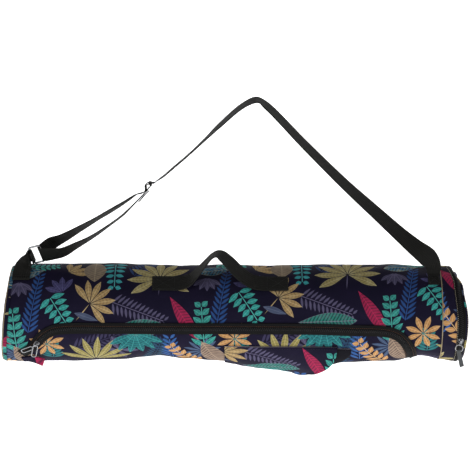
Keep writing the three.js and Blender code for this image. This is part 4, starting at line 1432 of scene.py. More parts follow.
@dataclass
class LongZip:
    """The long zip: two tapes, the coil's closed teeth, its stitches, slider and pulls."""

    form: BagForm
    finishes: Finishes
    width: float = 17
    tape: float = 1.1
    tape_length: float = 640
    ridge: float = 1.3
    tooth_pitch: float = 1.5
    tooth_off: float = 0.95
    tooth_lean: float = 8
    stitch_pitch: float = 2.9
    edge_seam: float = 7.3
    ridge_seam: float = 3.6
    curve_from: float = 0.86
    slider_at: float = 0.0685
    slider_around: float = 114.5
    slider_lie: float = -48
    pull_length: float = 19.5
    pull_width: float = 8.5
    pull_wire: float = 1.7

    ROWS = (
        ZipRow(0.032, 132),
        ZipRow(0.052, 124),
        ZipRow(0.069, 114),
        ZipRow(0.088, 103.5),
        ZipRow(0.108, 98),
        ZipRow(0.14, 95.5),
        ZipRow(0.24, 95.5),
        ZipRow(0.4, 95.7),
        ZipRow(0.56, 96),
        ZipRow(0.7, 96.5),
        ZipRow(0.8, 98),
        ZipRow(0.862, 99),
        ZipRow(0.893, 103),
        ZipRow(0.913, 111.5),
        ZipRow(0.926, 124),
        ZipRow(0.932, 137),
        ZipRow(0.934, 149),
    )
    PATH = SmoothPath(
        [
            Vector((FORM.left_rim + FORM.length * row.at, row.around * DEGREE * FORM.radius, 0))
            for row in ROWS
        ]
    )
    STEPS = 400

    @classmethod
    def around_at(cls, x: float) -> float:
        """The zip's angle at x, or -1 beyond its ends."""
        at = (x - FORM.left_rim) / FORM.length
        if at < cls.ROWS[0].at or at > cls.ROWS[-1].at:
            return -1.0
        return eased(cls.ROWS, "at", at, "around")

    def on(self, share: float, side: float, lift: float) -> Vector:
        """A point on the zip by its share of the length, mm to the side and mm above the cloth."""
        x, around = self.spot(share, side)
        return self.form.on(x, around, lift)

    def spot(self, share: float, side: float) -> Spot:
        """The x and angle of a place on the zip."""
        middle, along = self.PATH.at(share), self.PATH.heading(share)
        return middle.x - along.y * side, (middle.y + along.x * side) / self.form.radius / DEGREE

    def run(self, side: float, pitch: float) -> list[float]:
        """Spaces places evenly along a line beside the zip's middle.

        Args:
            side: How far the line is to the side, in mm.
            pitch: From place to place in mm.

        Returns:
            The places as shares of the zip's length.
        """
        marks = [self.on(i / self.STEPS, side, 0) for i in range(self.STEPS + 1)]
        shares, left = [], pitch / 2
        for i, (before, after) in enumerate(zip(marks, marks[1:])):
            step = (after - before).length
            while left <= step:
                shares.append((i + left / step) / self.STEPS)
                left += pitch
            left -= step
        return shares

    def seat(self, share: float, side: float, lift: float, turn: float = 0.0) -> Matrix:
        """Finds a frame on the zip.

        Args:
            share: The place's share of the zip's length.
            side: How far it is to the side, in mm.
            lift: How far above the cloth, in mm.
            turn: How far X is turned from the zip's run, in degrees.

        Returns:
            The frame, with Z out of the cloth.
        """
        ahead = self.on(min(share + 0.002, 1), side, lift) - self.on(max(share - 0.002, 0), side, lift)
        beside = self.on(share, side + 1, lift) - self.on(share, side - 1, lift)
        outwards = self.form.out_way(self.spot(share, side)[1])
        return seated(self.on(share, side, lift), ahead, beside, outwards, turn, 0)

    def build(self) -> None:
        """Makes the zip."""

        def place(a: float, b: float) -> Vector:
            """A point of the tapes, which swell over the coil."""
            side = self.width * (b - 0.5)
            swell = 0.55 * math.exp(-((side / 3.2) ** 4))
            return self.on(a, side, SEAT + self.tape - 0.1 + swell)

        def chart(a: float, b: float) -> Spot:
            """The distances along and across the tapes, in metres."""
            return a * self.tape_length * MM, b * self.width * MM

        bm = mapped_grid(260, 16, place, chart)
        face_away(bm, self.form.axis_point)
        tape = make_piece("zip_tapes", bm, [self.finishes.tape], ["main_zip"])
        add_wall(tape, self.tape)
        top = SEAT + self.tape
        teeth = []
        for i, share in enumerate(self.run(0.0, self.tooth_pitch)):
            hand = 1 if i % 2 else -1
            teeth.append(self.seat(share, hand * self.tooth_off, top + 0.75, hand * self.tooth_lean))
        closed_teeth("zip_teeth", teeth, self.finishes.coil)
        rows = []
        edge, curve = self.edge_seam, self.curve_from
        for side, start in ((-self.ridge_seam, 0.0), (-edge, curve), (edge, curve)):
            shares = [share for share in self.run(side, self.stitch_pitch) if share >= start]
            rows += [self.seat(share, side, top + 0.12) for share in shares]
        thread("zip_stitches", rows, self.finishes.tan_thread, 2.3, 0.55)
        self.pulls()

    def pulls(self) -> None:
        """The slider with its two wire pulls."""
        form = self.form
        x = form.left_rim + self.slider_at * form.length
        top = SEAT + self.tape + self.ridge
        around, lie = self.slider_around, self.slider_lie * DEGREE
        out = form.out_way(around)
        along = Vector((math.cos(lie), 0, 0)) + form.round_way(around) * math.sin(lie)
        along.normalize()
        body = slider_body(basis(form.on(x, around, top + GAP), along, out.cross(along), out))
        make_piece("zip_slider", body, [self.finishes.nickel], ["main_slider"])
        front = form.on(x, 113, top + SLIDER_HEIGHT + GAP * 2 + self.pull_wire / 2)
        self.wire_pull("zip_pull_front", front, Vector((-0.2, 0.05, -0.98)), form.out_way(100), "front_pull")
        side = form.on(x - 4.6, 118.4, top + GAP + self.pull_wire / 2)
        self.wire_pull("zip_pull_side", side, Vector((-0.9, 0.14, -0.36)), form.out_way(122), "side_pull")

    def wire_pull(self, name: str, start: Vector, way: Vector, out: Vector, node: str) -> None:
        """A wire pull that hangs from a point.

        Args:
            name: The piece's name.
            start: Its upper end in mm.
            way: The direction it hangs in.
            out: The direction its face looks in.
            node: The frame's node that it stands for.
        """
        along = way.normalized()
        across = out.cross(along).normalized()
        face = along.cross(across).normalized()
        where = basis(start + along * (self.pull_length / 2), along, across, face)
        wire = self.pull_wire
        bm = wire_loop(self.pull_length - wire, self.pull_width - wire, 2.6, wire, where)
        make_piece(name, bm, [self.finishes.nickel], [node])


def slider_body(place: Matrix) -> Mesh:
    """Makes a zip slider: a shield-shaped body with a raised bridge.

    Args:
        place: Carries it to the zip; its length is along X.

    Returns:
        The slider's mesh, in metres.
    """
    bm = bmesh.new()
    long, wide, high = SLIDER_LENGTH, SLIDER_WIDTH, SLIDER_HEIGHT
    rows = ((-0.5, 0.28), (-0.2, 0.42), (0.1, 0.5), (0.35, 0.5), (0.5, 0.26))
    outline = list(rows) + [(x, -y) for x, y in reversed(rows)]
    face = bm.faces.new([bm.verts.new((x * long * MM, y * wide * MM, 0)) for x, y in outline])
    bmesh.ops.solidify(bm, geom=[face], thickness=high * 0.6 * MM)
    low = min(vert.co.z for vert in bm.verts)
    bmesh.ops.translate(bm, vec=(0, 0, -low), verts=bm.verts)
    bridge = bmesh.ops.create_cube(bm, size=1.0)["verts"]
    bmesh.ops.scale(bm, vec=(long * 0.62 * MM, wide * 0.26 * MM, high * 0.45 * MM), verts=bridge)
    bmesh.ops.translate(bm, vec=(0, 0, high * 0.78 * MM), verts=bridge)
    bmesh.ops.bevel(
        bm, geom=bm.edges[:], offset=0.35 * MM, segments=2, affect="EDGES", profile=0.5, material=-1
    )
    bmesh.ops.recalc_face_normals(bm, faces=bm.faces)
    for each in bm.faces:
        each.smooth = True
    bmesh.ops.transform(bm, matrix=place, verts=bm.verts)
    return bm


@dataclass
class SidePocket:
    """The side pocket's cloth: sewn down on three sides, its right edge gaping."""

    form: BagForm
    finishes: Finishes
    start: float = 325
    length: float = 168
    top: float = 119
    bottom: float = 214
    cloth: float = 1.3
    gape: float = 13
    fullness: float = 0.18
    mouth_cut: float = 0.42
    ripple: float = 1.4
    rolled_hem: float = 1.6
    inner_start: float = 40
    inner_end: float = 151
    inner_girth: float = 66
    inner_cut: float = 75
    inner_cloth: float = 0.7

    SEAMS = (
        ((0.03, 0.02), (0.03, 0.98)),
        ((0.03, 0.03), (0.97, 0.03)),
        ((0.03, 0.975), (0.97, 0.975)),
    )

    def spot(self, a: float, b: float) -> Spot:
        """Finds a place on the cloth.

        Args:
            a: The share of the way to the mouth.
            b: The share of the way down.

        Returns:
            x in mm and the angle in degrees.
        """
        mouth = 1 - self.mouth_cut * math.sin(math.pi * b**2.2)
        x = self.form.left_rim + self.start + self.length * mouth * a
        return x, self.top + (self.bottom - self.top) * b

    def place(self, a: float, b: float) -> Vector:
        """Finds a point on the outside of the cloth, which gapes towards its mouth.

        Args:
            a: The share of the way to the mouth.
            b: The share of the way down.

        Returns:
            The point in mm.
        """
        x, around = self.spot(a, b)
        arch = max(math.sin(math.pi * b), 0.0)
        opened = a**2.2 * arch**0.8
        full = self.fullness * arch * math.sin(math.pi * min(1, a * 1.6))
        free = min(a * 8, 1) * min(b * 8, 1) * min((1 - b) * 8, 1)
        waves = noise.noise(Vector((x * 0.035, around * 0.05, 4)))
        waves += 0.6 * noise.noise(Vector((x * 0.09, around * 0.05, 8)))
        lift = SEAT + GAP + self.cloth + self.gape * (opened + full * (1 - a))
        hem = self.rolled_hem * math.exp(-(((1 - a) / 0.035) ** 2)) * arch
        return self.form.on(x, around, lift + self.ripple * waves * free + hem)

    def inside(self) -> None:
        """The pocket's inner cloth, which shows in its mouth: its faces are painted shade, its cut edge the
        pale unprinted back.
        """

        def place(a: float, b: float) -> Vector:
            """Finds a point of the inner cloth, which lifts a little at the mouth.

            Args:
                a: The share of the way to the mouth.
                b: The share of the way down.

            Returns:
                The point in mm.
            """
            around = self.top + 3 + self.inner_girth * b
            end = self.inner_end - self.inner_cut * max(b - 0.15, 0) ** 1.2
            x = self.inner_start + (end - self.inner_start) * a
            return self.form.on(x, around, SEAT + 0.75 + 1.2 * a**6 * math.sin(math.pi * b))

        bm = mapped_grid(30, 24, place)
        face_away(bm, self.form.axis_point)
        # The inner cloth's faces take the painted shade; its cut edge takes the pale back.
        made = make_piece("pocket_inside", bm, [self.finishes.shadow, self.finishes.lining])
        add_wall(made, self.inner_cloth, rim=1)

    def seams(self) -> list[Matrix]:
        """A frame for each stitch of the back, upper and lower seams."""
        found = []
        number = 40
        for start, end in self.SEAMS:
            first, step = Vector(start), (Vector(end) - Vector(start)) / number
            for i in range(number):
                middle = first + step * (i + 0.5)
                here = self.place(*middle)
                ahead = self.place(*(middle + step * 0.1)) - here
                out = self.form.out_way(self.spot(*middle)[1])
                along = (ahead - out * ahead.dot(out)).normalized()
                found.append(basis(here + out * 0.1, along, out.cross(along), out))
        return found

    def build(self) -> None:
        """Makes the pocket's cloth and its seams."""

        def chart(a: float, b: float) -> Spot:
            """The print's coordinates there: the pocket was cut from another place."""
            return self.form.print_chart(*self.spot(a, b), slide=83, turn=-86)

        bm = mapped_grid(72, 60, self.place, chart)
        face_away(bm, self.form.axis_point)
        # The pocket cloth's back, which faces into the pocket, is painted shade; its cut edge is the pale
        # unprinted back.
        cloths = [self.finishes.canvas, self.finishes.shadow, self.finishes.lining]
        made = make_piece("pocket_cloth", bm, cloths, ["pocket_patch"])
        add_wall(made, self.cloth, lining=1, rim=2)
        self.inside()
        thread("pocket_stitches", self.seams(), self.finishes.black_thread, 2.4, 0.5)


@dataclass
class RoundZip:
    """The zip round the right end, with its slider, ring and soft pull."""

    form: BagForm
    finishes: Finishes
    slider_around: float = 112
    tape: float = 1.2
    tape_length: float = 460
    ridge: float = 1.3
    tooth_pitch: float = 1.5
    tooth_off: float = 0.07
    tooth_lean: float = 8
    stitches: int = 150
    ring_length: float = 9.4
    ring_width: float = 11
    ring_corner: float = 4
    ring_wire: float = 1.6
    tab_length: float = 26
    tab_width: float = 7
    tab_thick: float = 2.4

    def on(self, around: float, share: float, lift: float) -> Vector:
        """A point above the tape, at an angle, a share of its width and a lift in mm."""
        x, radius = self.form.on_tape(around, share)
        return self.form.at_radius(x, around, radius + lift)

    def seat(self, around: float, share: float, lift: float, turn: float = 0.0) -> Matrix:
        """Finds a frame on the tape.

        Args:
            around: Degrees from the top to the front.
            share: The place's share of the tape's width.
            lift: How far above the tape, in mm.
            turn: How far X is turned from the way round the bag, in degrees.

        Returns:
            The frame, with Z out of the tape.
        """
        ahead = self.on(around + 1, share, 0) - self.on(around - 1, share, 0)
        beside = self.on(around, share + 0.1, 0) - self.on(around, share - 0.1, 0)
        here = self.on(around, share, 0)
        return seated(here, ahead, beside, self.form.out_way(around), turn, lift)

    def build(self) -> None:
        """Makes the round zip."""
        form = self.form

        def place(a: float, b: float) -> Vector:
            """A point of the tape, which swells over the coil."""
            swell = 0.6 * math.exp(-(((b - 0.5) / 0.19) ** 4))
            return self.on(360 * (a % 1.0) - 90, 0.02 + 0.98 * b, swell)

        def chart(a: float, b: float) -> Spot:
            """The distances round and across the tape, in metres."""
            return a * self.tape_length * MM, b * form.tape_width * MM

        bm = mapped_grid(180, 14, place, chart)
        face_away(bm, form.axis_point)
        tape = make_piece("end_tape", bm, [self.finishes.tape], ["end_zip"])
        add_wall(tape, self.tape)
        teeth = []
        number = int(360 * DEGREE * form.radius / self.tooth_pitch)
        for i in range(number):
            hand = 1 if i % 2 else -1
            lean = hand * self.tooth_lean
            teeth.append(self.seat(360 * i / number, 0.5 + hand * self.tooth_off, 0.7, lean))
        closed_teeth("end_teeth", teeth, self.finishes.coil)
        turns = [360 * i / self.stitches for i in range(self.stitches)]
        near = [self.seat(around, 0.1, 0.1) for around in turns]
        thread("end_stitches", near, self.finishes.pale_thread, 2.1, 0.6)
        far = []
        for around in turns:
            x, radius = form.on_tape(around, 1.0)
            spot = form.at_radius(x + GAP + 2.3, around, radius - 0.55)
            round_way, out = form.round_way(around), form.out_way(around)
            far.append(basis(spot, round_way, out.cross(round_way), out))
        thread("flap_stitches", far, self.finishes.pale_thread, 2.1, 0.6)
        self.pull()

    def pull(self) -> None:
        """The slider, its ring and the soft pull."""
        form = self.form
        around = self.slider_around
        x, radius = form.on_tape(around, 0.5)
        out = form.out_way(around)
        along = -form.round_way(around)
        centre = form.at_radius(x, around, radius + self.ridge + 2 * GAP)
        body = slider_body(basis(centre, along, out.cross(along), out))
        make_piece("end_zip_slider", body, [self.finishes.nickel], ["end_slider"])
        down = Vector((-0.3, 0.1, -0.95)).normalized()
        across = form.out_way(104).cross(down).normalized()
        face = down.cross(across).normalized()
        middle = centre + out * (SLIDER_HEIGHT + 0.45) + down * 8.5
        where = basis(middle, down, across, face)
        ring = wire_loop(self.ring_length, self.ring_width, self.ring_corner, self.ring_wire, where, 48)
        make_piece("end_zip_ring", ring, [self.finishes.nickel], ["end_pull_ring"])
        start = centre + out * (SLIDER_HEIGHT + 1.7) + Vector((-4, 0, -10))
        hang = Vector((6, 1.5, -self.tab_length))
        keys = []
        for share in (0, 0.2, 0.45, 0.7, 1):
            keys.append(Key(start + hang * share, Vector((0.95, 0.3 * share, 0.1)), 0.8 + 0.2 * share))
        ribbon = Ribbon(keys, self.tab_width)
        bm = mapped_grid(24, 6, lambda a, b: ribbon.on(a, b - 0.5))
        tab = make_piece("end_zip_tab", bm, [self.finishes.pull], ["end_pull_tab"])
        add_wall(tab, self.tab_thick, 0.0)
        round_edges(tab, 0.9, 3)


@dataclass(frozen=True)
class HandleRow:
    """A place along the handle: its rise and lean as shares, and how the web turns."""

    at: float
    rise: float
    lean: float
    turn_x: float
    turn_z: float


@dataclass
class CarryHandle:
    """The webbing handle: flat where it is sewn on, standing up in a twisted arch between."""

    form: BagForm
    finishes: Finishes
    around: float = 42
    start: float = -146
    span: float = 203
    rise: float = 46
    width: float = 26
    rows: tuple[HandleRow, ...] = (
        HandleRow(0, 0, 0, 0, 0),
        HandleRow(0.09, 0, 0, 0, 0),
        HandleRow(0.19, 0.012, 0, 0, 0),
        HandleRow(0.265, 0.1, 0, 0, -0.12),
        HandleRow(0.33, 0.36, 0.03, 0.05, -0.35),
        HandleRow(0.4, 0.73, 0.08, 0.1, -0.6),
        HandleRow(0.445, 0.94, 0.11, 0.06, -0.6),
        HandleRow(0.478, 1, 0.12, -0.05, -0.5),
        HandleRow(0.515, 0.93, 0.12, -0.22, -0.35),
        HandleRow(0.58, 0.66, 0.1, -0.35, -0.25),
        HandleRow(0.66, 0.3, 0.05, -0.3, -0.15),
        HandleRow(0.74, 0.07, 0.01, -0.12, 0),
        HandleRow(0.82, 0.006, 0, 0, 0),
        HandleRow(0.92, 0, 0, 0, 0),
        HandleRow(1, 0, 0, 0, 0),
    )

    def build(self) -> None:
        """Makes the handle and the stitches of its two ends."""
        keys = []
        for row in self.rows:
            centre = self.form.on(self.start + self.span * row.at, self.around, SEAT + 0.75)
            centre += Vector((0, -row.lean * self.rise, row.rise * self.rise))
            across = self.form.round_way(self.around) + Vector((row.turn_x, 0, -row.turn_z))
            keys.append(Key(centre, across.normalized()))
        ribbon = Ribbon(keys, self.width)
        ribbon.build("carry_handle", self.finishes.webbing, ["handle"], 8)
        lift = ribbon.outer_lift(0.02, self.form.out_way(self.around), WEB_STITCH)
        places = ribbon.crossed_box(0.006, 0.125, 0.42, 2.4, lift)
        places += ribbon.crossed_box(0.875, 0.994, 0.42, 2.4, lift)
        thread("handle_stitches", places, self.finishes.black_thread, 2.0, 0.6)


@dataclass(frozen=True)
class StrandRow:
    """A place of a free strand: shares of its run, drop and lean, and the web's turn."""

    run: float
    drop: float
    lean: float
    turn: float
    share: float = 1.0


@dataclass
class ShoulderStrap:
    """The adjustable strap with its tab, ring, tri-glide and sewn-back end."""

    form: BagForm
    finishes: Finishes
    width: float = 30
    web: float = 1.5
    reach_right: float = 275
    reach_left: float = 313
    ring_wire: float = 3
    ring_length: float = 16.2
    ring_play: float = 4
    glide_length: float = 24
    glide_plate: float = 2
    glide_bar: float = 3
    tab_width: float = 26
    tab_inset: float = 21
    tab_around: float = 26
    loop_tail: float = 6.5
    plate_edge: float = 3
    plate_play: float = 1

    RIGHT = (
        StrandRow(0.998, 0.752, 0.4, 4, 0.78),
        StrandRow(0.97, 0.718, 0.38, 16),
        StrandRow(0.904, 0.674, 0.36, 38),
        StrandRow(0.817, 0.612, 0.32, 50),
        StrandRow(0.686, 0.513, 0.27, 58),
        StrandRow(0.512, 0.381, 0.19, 65),
        StrandRow(0.293, 0.2, 0.11, 70),
        StrandRow(0.092, 0.028, 0.01, 74),
    )
    LEFT = (
        StrandRow(0.036, 0.0, 0.0, 78),
        StrandRow(-0.03, 0.024, 0.01, 81),
        StrandRow(-0.143, 0.115, 0.03, 83),
        StrandRow(-0.219, 0.185, 0.05, 89),
        StrandRow(-0.296, 0.253, 0.08, 91),
        StrandRow(-0.373, 0.316, 0.1, 91),
        StrandRow(-0.415, 0.35, 0.12, 92),
    )
    UPPER = (
        StrandRow(-0.545, 0.434, 0.11, 98),
        StrandRow(-0.59, 0.463, 0.1, 102),
        StrandRow(-0.66, 0.506, 0.07, 106),
        StrandRow(-0.74, 0.552, 0.05, 107),
        StrandRow(-0.82, 0.597, 0.03, 113),
        StrandRow(-0.9, 0.641, 0.01, 122),
        StrandRow(-0.955, 0.666, 0.02, 134),
    )
    LOWER = (
        StrandRow(-0.955, 0.708, 0.22, 44),
        StrandRow(-0.905, 0.703, 0.2, 54),
        StrandRow(-0.84, 0.672, 0.18, 65),
        StrandRow(-0.76, 0.631, 0.16, 74),
        StrandRow(-0.68, 0.579, 0.15, 79),
        StrandRow(-0.61, 0.529, 0.15, 81),
        StrandRow(-0.562, 0.484, 0.14, 84),
    )

    def __post_init__(self) -> None:
        """Sets up the ring's and the tri-glide's frames."""
        self.ring_along = Vector((0.97, 0, 0.24)).normalized()
        lean = Vector((-0.1, 0.62, -0.78))
        self.ring_across = (lean - self.ring_along * lean.dot(self.ring_along)).normalized()
        self.ring_out = self.ring_along.cross(self.ring_across)
        radius, drop = self.form.radius, self.form.drop
        self.strap_bar = Vector((-self.reach_left, -0.17 * radius, 1.278 * radius - drop))
        self.tab_bar = self.strap_bar - self.ring_along * self.ring_length
        self.loop_radius = self.ring_wire / 2 + 2 * GAP + self.web / 2
        self.glide_centre = Vector((-0.483 * self.reach_left, -0.13 * radius, -0.394 * drop))
        self.glide_along = Vector((-0.76, -0.04, -0.65)).normalized()
        across = self.turned(self.glide_along, 95)
        self.glide_across = (across - self.glide_along * across.dot(self.glide_along)).normalized()
        self.glide_out = self.glide_across.cross(self.glide_along)
        self.layer = self.glide_plate / 2 + 1.5 * GAP + self.web / 2

    def turned(self, along: Vector, degrees: float) -> Vector:
        """The direction across a free strap, turned from the upright plane to the back."""
        depth = Vector((0, 1, 0))
        upright = depth.cross(along).normalized()
        return upright * math.cos(degrees * DEGREE) + depth * math.sin(degrees * DEGREE)

    def strand(self, rows: Sequence[StrandRow], run: float) -> list[Key]:
        """Works out the keys of a free strand.

        Args:
            rows: The strand's places.
            run: The length that the places' run is a share of, in mm.

        Returns:
            The keys.
        """
        drop, radius = self.form.drop, self.form.radius
        centres = [Vector((r.run * run, -r.lean * radius, -r.drop * drop - self.web / 2)) for r in rows]
        keys = []
        for i, row in enumerate(rows):
            along = (centres[min(i + 1, len(rows) - 1)] - centres[max(i - 1, 0)]).normalized()
            keys.append(Key(centres[i], self.turned(along, row.turn), row.share))
        return keys

    def in_glide(self, rows: Sequence[tuple[float, float]]) -> list[Key]:
        """Keys in the tri-glide's frame: mm along the strap and out of its face."""
        return [
            Key(self.glide_centre + self.glide_along * along + self.glide_out * out, self.glide_across.copy())
            for along, out in rows
        ]

    def round_bar(self, bar: Vector, angle: float, off: float = 0.0) -> Key:
        """Finds a key on a web's loop round a bar of the ring.

        Args:
            bar: The bar's middle in mm.
            angle: The place on the loop in degrees.
            off: How far the key is straight off the loop there, in mm.

        Returns:
            The key.
        """
        cos, sin = math.cos(angle * DEGREE), math.sin(angle * DEGREE)
        along = self.loop_radius * cos - off * sin
        out = self.loop_radius * sin + off * cos
        return Key(bar + self.ring_along * along + self.ring_out * out, self.ring_across.copy())

    def strap(self) -> None:
        """The one long web, with the stitches of its sewn end."""
        form = self.form
        sewn = [
            Key(form.on(self.reach_right, around, SEAT + GAP + self.web / 2), Vector((1, 0, 0)), 0.6)
            for around in (43, 34, 27)
        ]
        under = -self.layer
        over = self.layer + self.web + GAP
        reach = self.glide_length / 2
        through = [(-reach - 1, under), (-reach + 3.3, under), (-reach / 2, 0.5), (-reach / 4 - 0.2, over)]
        through += [(reach / 4 + 0.2, over), (reach / 2, 0.5), (reach - 3.3, under), (reach + 1, under)]
        bar = self.glide_bar / 2 + GAP + self.web / 2
        below = under - self.web - GAP
        back = [(reach + 1, below - 0.4), (reach - 3.3, below), (reach / 2, below + 0.6), (1, under)]
        back += [(1 - bar, under), (-bar, under * 0.65), (-bar - 0.15, 0), (-bar, -under * 0.65)]
        back += [(1 - bar, -under), (0.8, -under)]
        loop = [self.round_bar(self.strap_bar, 131, -4)]
        loop += [self.round_bar(self.strap_bar, angle) for angle in (131, 150, 168, 186, 204, 225, 246)]
        loop += [self.round_bar(self.strap_bar, 246, 4)]
        keys = sewn + self.strand(self.RIGHT, self.reach_right) + self.strand(self.LEFT, self.reach_left)
        keys += self.in_glide(through) + self.strand(self.UPPER, self.reach_left) + loop
        keys += self.strand(self.LOWER, self.reach_left) + self.in_glide(back)
        ribbon = Ribbon(keys, self.width)
        ribbon.build("strap_web", self.finishes.webbing, ["shoulder_strap"], 6)
        last = len(keys) - 1
        lift = ribbon.outer_lift(0.5 / last, form.out_way(40), WEB_STITCH)
        places = ribbon.crossed_box(0.15 / last, 1.7 / last, 0.4, 2.2, lift)
        thread("strap_stitches", places, self.finishes.black_thread, 1.9, 0.6)
        tail = [(6, 2.1), (10, 2.3), (14, 2.4), (20, 2.9), (27, 3.5)]
        ends = self.in_glide([(along, under - (self.web + GAP) * layers) for along, layers in tail])
        Ribbon(ends, self.width).build("strap_end", self.finishes.webbing, ["strap_tail"], 6)

    def tab(self) -> None:
        """The ring's tab and its loop round the bar."""
        form = self.form
        flat = SEAT + GAP + self.web + GAP / 2
        x = form.left_rim + self.tab_inset
        start = form.on(x, self.tab_around, flat + 3 * self.web)
        free = self.tab_bar - start
        line = free.normalized()
        level = Vector((1, 0, 0))
        keys = [Key(form.on(x, around, flat), level.copy()) for around in (37, 31)]
        end = 1 - (self.loop_tail + 4 * GAP) / free.length
        for share, twist, wide in ((0.14, 0.05, 0.98), (0.36, 0.33, 0.95), (0.56, 0.75, 0.92), (end, 1, 0.9)):
            across = level.lerp(self.ring_across, twist)
            across = (across - line * across.dot(line)).normalized()
            keys.append(Key(start + free * share, across, wide))
        tab = Ribbon(keys, self.tab_width, 2 * self.web + GAP)
        tab.build("tab_web", self.finishes.webbing, ["ring_tab"], 8)
        heading = math.atan2(line.dot(self.ring_out), line.dot(self.ring_along)) / DEGREE
        loop = [self.round_bar(self.tab_bar, heading - 90, -self.loop_tail)]
        loop += [self.round_bar(self.tab_bar, heading + angle) for angle in range(-90, 91, 30)]
        loop += [self.round_bar(self.tab_bar, heading + 90, self.loop_tail)]
        for key in loop:
            key.share = 0.9
        Ribbon(loop, self.tab_width).build("tab_round", self.finishes.webbing, ["tab_loop"], 6)
        lift = tab.outer_lift(0.02, form.out_way(34), WEB_STITCH + (self.web + GAP) / 2)
        rows = tab.stitches([(0.03, -0.44), (0.03, 0.44)], 2.2, lift)
        rows += tab.stitches([(0.16, -0.44), (0.16, 0.44)], 2.2, lift)
        thread("tab_stitches", rows, self.finishes.black_thread, 1.9, 0.6)

    def metal(self) -> None:
        """The ring and the tri-glide."""
        centre = (self.strap_bar + self.tab_bar) / 2
        where = basis(centre, self.ring_along, self.ring_across, self.ring_out)
        width = self.width + self.ring_wire + self.ring_play
        ring = wire_loop(self.ring_length, width, 3, self.ring_wire, where)
        make_piece("ring", ring, [self.finishes.nickel], ["strap_ring"])
        half = self.glide_length / 2
        slot, edge, bar = self.width / 2 + self.plate_play, self.plate_edge, self.glide_bar / 2
        columns = (-half, -half + edge, -bar, bar, half - edge, half)
        rows = (-slot - edge, -slot, slot, slot + edge)
        bm = bmesh.new()
        corners = [[bm.verts.new((x * MM, y * MM, 0)) for y in rows] for x in columns]
        for i in range(5):
            for j in range(3):
                is_slot = i in (1, 3) and j == 1
                if not is_slot:
                    left, right = corners[i], corners[i + 1]
                    bm.faces.new((left[j], right[j], right[j + 1], left[j + 1]))
        bmesh.ops.solidify(bm, geom=bm.faces[:], thickness=self.glide_plate * MM)
        middle = sum((vert.co.z for vert in bm.verts), 0.0) / len(bm.verts)
        bmesh.ops.translate(bm, vec=(0, 0, -middle), verts=bm.verts)
        bmesh.ops.recalc_face_normals(bm, faces=bm.faces)
        for face in bm.faces:
            face.smooth = True
        turn = basis(self.glide_centre, self.glide_along, -self.glide_across, self.glide_out)
        bmesh.ops.transform(bm, matrix=turn, verts=bm.verts)
        glide = make_piece("glide", bm, [self.finishes.nickel], ["tri_glide"])
        round_edges(glide, 0.55, 3)

    def build(self) -> None:
        """Makes the strap and its fittings."""
        self.strap()
        self.tab()
        self.metal()


@dataclass(frozen=True)
class TabRow:
    """A place along the corner tab: a share of the bag's length, degrees round, mm up, and lean."""

    at: float
    around: float
    lift: float
    lean: float


@dataclass
class CornerTab:
    """The folded end of the zip's cloth, which hangs below the bag's left end."""

    form: BagForm
    finishes: Finishes
    width: float = 13
    thick: float = 2.6
    rows: tuple[TabRow, ...] = (
        TabRow(0.033, 144, 0, 0),
        TabRow(0.047, 142, 0.4, 4),
        TabRow(0.06, 141, 2.6, 14),
        TabRow(0.073, 141, 6, 26),
        TabRow(0.083, 142, 8.5, 34),
    )

    def build(self) -> None:
        """Makes the corner tab."""
        form = self.form
        keys = []
        for row in self.rows:
            x = form.left_rim + form.length * row.at
            across = form.round_way(row.around - row.lean) + Vector((-0.3, 0, 0))
            keys.append(Key(form.on(x, row.around, SEAT + self.thick / 2 + row.lift), across.normalized()))
        ribbon = Ribbon(keys, self.width)

        def place(a: float, b: float) -> Vector:
            """A point of the folded cloth."""
            return ribbon.on(a, b - 0.5)

        def chart(a: float, b: float) -> Spot:
            """The print's coordinates there: dark ground that ends in a crimson leaf."""
            return (245 + 21 * a) * MM, (115 - 14 * a + 6 * b) * MM

        bm = mapped_grid(28, 8, place, chart)
        made = make_piece("corner_cloth", bm, [self.finishes.canvas], ["corner_tab"])
        add_wall(made, self.thick, 0.0)
        round_edges(made, 0.9, 3)


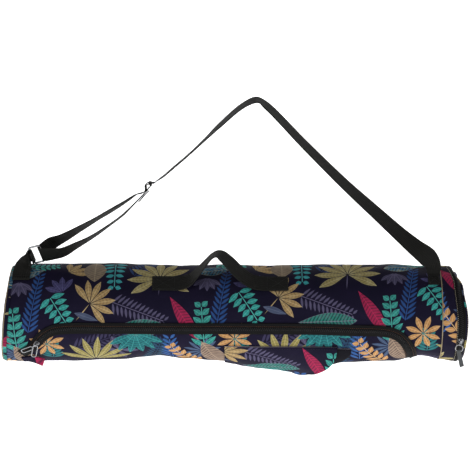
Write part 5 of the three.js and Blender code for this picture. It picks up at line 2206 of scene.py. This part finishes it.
@dataclass
class Studio:
    """The camera at the photograph's angle, a pale backdrop and soft studio lights."""

    target: Vector = field(default_factory=lambda: Vector((-22.4, 0, -205.5)))
    distance: float = 3000
    elevation: float = 10
    lens: float = 152.2
    sweep_width: float = 16000
    sweep_front: float = -6000
    sweep_floor: float = -1500
    sweep_run: float = 9600
    sweep_bend: float = 900
    sweep_rise: float = 6000
    floor_share: float = 0.4
    bend_share: float = 0.25
    white: str = "#ffffff"
    room_light: float = 0.09
    room_seen: float = 0.93
    light_side: float = 1.6

    def camera(self) -> None:
        """Places the camera."""
        data = bpy.data.cameras.new("camera")
        data.lens = self.lens
        data.sensor_width = 36
        data.clip_end = 50
        made = bpy.data.objects.new("camera", data)
        tilt = self.elevation * DEGREE
        away = Vector((0, -math.cos(tilt), math.sin(tilt))) * self.distance
        made.location = (self.target + away) * MM
        made.rotation_euler = (-away).to_track_quat("-Z", "Y").to_euler()
        bpy.context.scene.collection.objects.link(made)
        bpy.context.scene.camera = made

    def backdrop(self) -> None:
        """A white sweep well behind and below the bag."""

        def place(a: float, b: float) -> Vector:
            """Finds a point of the sweep: floor, then bend, then wall.

            Args:
                a: The share of its width.
                b: The share of the way from its front.

            Returns:
                The point in mm.
            """
            upright = self.floor_share + self.bend_share
            flat = min(b / self.floor_share, 1)
            turn = min(max((b - self.floor_share) / self.bend_share, 0), 1) * 90 * DEGREE
            wall = max((b - upright) / (1 - upright), 0)
            y = self.sweep_front + flat * self.sweep_run + self.sweep_bend * math.sin(turn)
            z = self.sweep_floor + self.sweep_bend * (1 - math.cos(turn)) + wall * self.sweep_rise
            return Vector(((a - 0.5) * self.sweep_width, y, z))

        material = bpy.data.materials.new("backdrop")
        material.use_nodes = True
        shader = material.node_tree.nodes["Principled BSDF"]
        shader.inputs["Base Color"].default_value = srgb(self.white)
        shader.inputs["Roughness"].default_value = 0.9
        shader.inputs["Emission Color"].default_value = srgb(self.white)
        shader.inputs["Emission Strength"].default_value = 0.95
        bm = mapped_grid(2, 60, place)
        mesh = bpy.data.meshes.new("backdrop")
        bm.to_mesh(mesh)
        bm.free()
        mesh.materials.append(material)
        made = bpy.data.objects.new("backdrop", mesh)
        bpy.context.scene.collection.objects.link(made)

    def light(self, name: str, spot: tuple[float, float, float], power: float) -> None:
        """Adds a soft square light that looks at the bag.

        Args:
            name: The light's name.
            spot: Its place in metres.
            power: Its power in watts.
        """
        data = bpy.data.lights.new(name, "AREA")
        data.size = self.light_side
        data.energy = power
        made = bpy.data.objects.new(name, data)
        made.location = spot
        made.rotation_euler = (self.target * MM - Vector(spot)).to_track_quat("-Z", "Y").to_euler()
        bpy.context.scene.collection.objects.link(made)

    def build(self) -> None:
        """Makes the studio."""
        self.camera()
        self.backdrop()
        self.light("key", (-1.2, -2.2, 1.9), 21)
        self.light("fill", (1.8, -2.0, 0.9), 11)
        self.light("low", (0.2, -1.8, -1.3), 5)
        world = bpy.data.worlds.new("studio")
        world.use_nodes = True
        tree = world.node_tree
        sky = tree.nodes["Background"]
        sky.inputs[0].default_value = srgb(self.white)
        known = {"seen": add_node(tree, "ShaderNodeLightPath").outputs["Is Camera Ray"]}
        rows = [("strength", "MULTIPLY_ADD", "seen", self.room_seen, self.room_light)]
        tree.links.new(work_out(tree, known, rows)["strength"], sky.inputs[1])
        scene = bpy.context.scene
        scene.world = world
        scene.view_settings.view_transform = "Standard"
        scene.view_settings.look = "None"


def main() -> None:
    """Builds the bag and its studio."""
    logging.basicConfig(level=logging.INFO, format="%(name)s: %(message)s")
    finishes = Finishes.build()
    parts = (PrintedShell, LongZip, SidePocket, RoundZip, CarryHandle, ShoulderStrap, CornerTab)
    for part in parts:
        part(FORM, finishes).build()
    Studio().build()


if __name__ == "__main__":
    main()
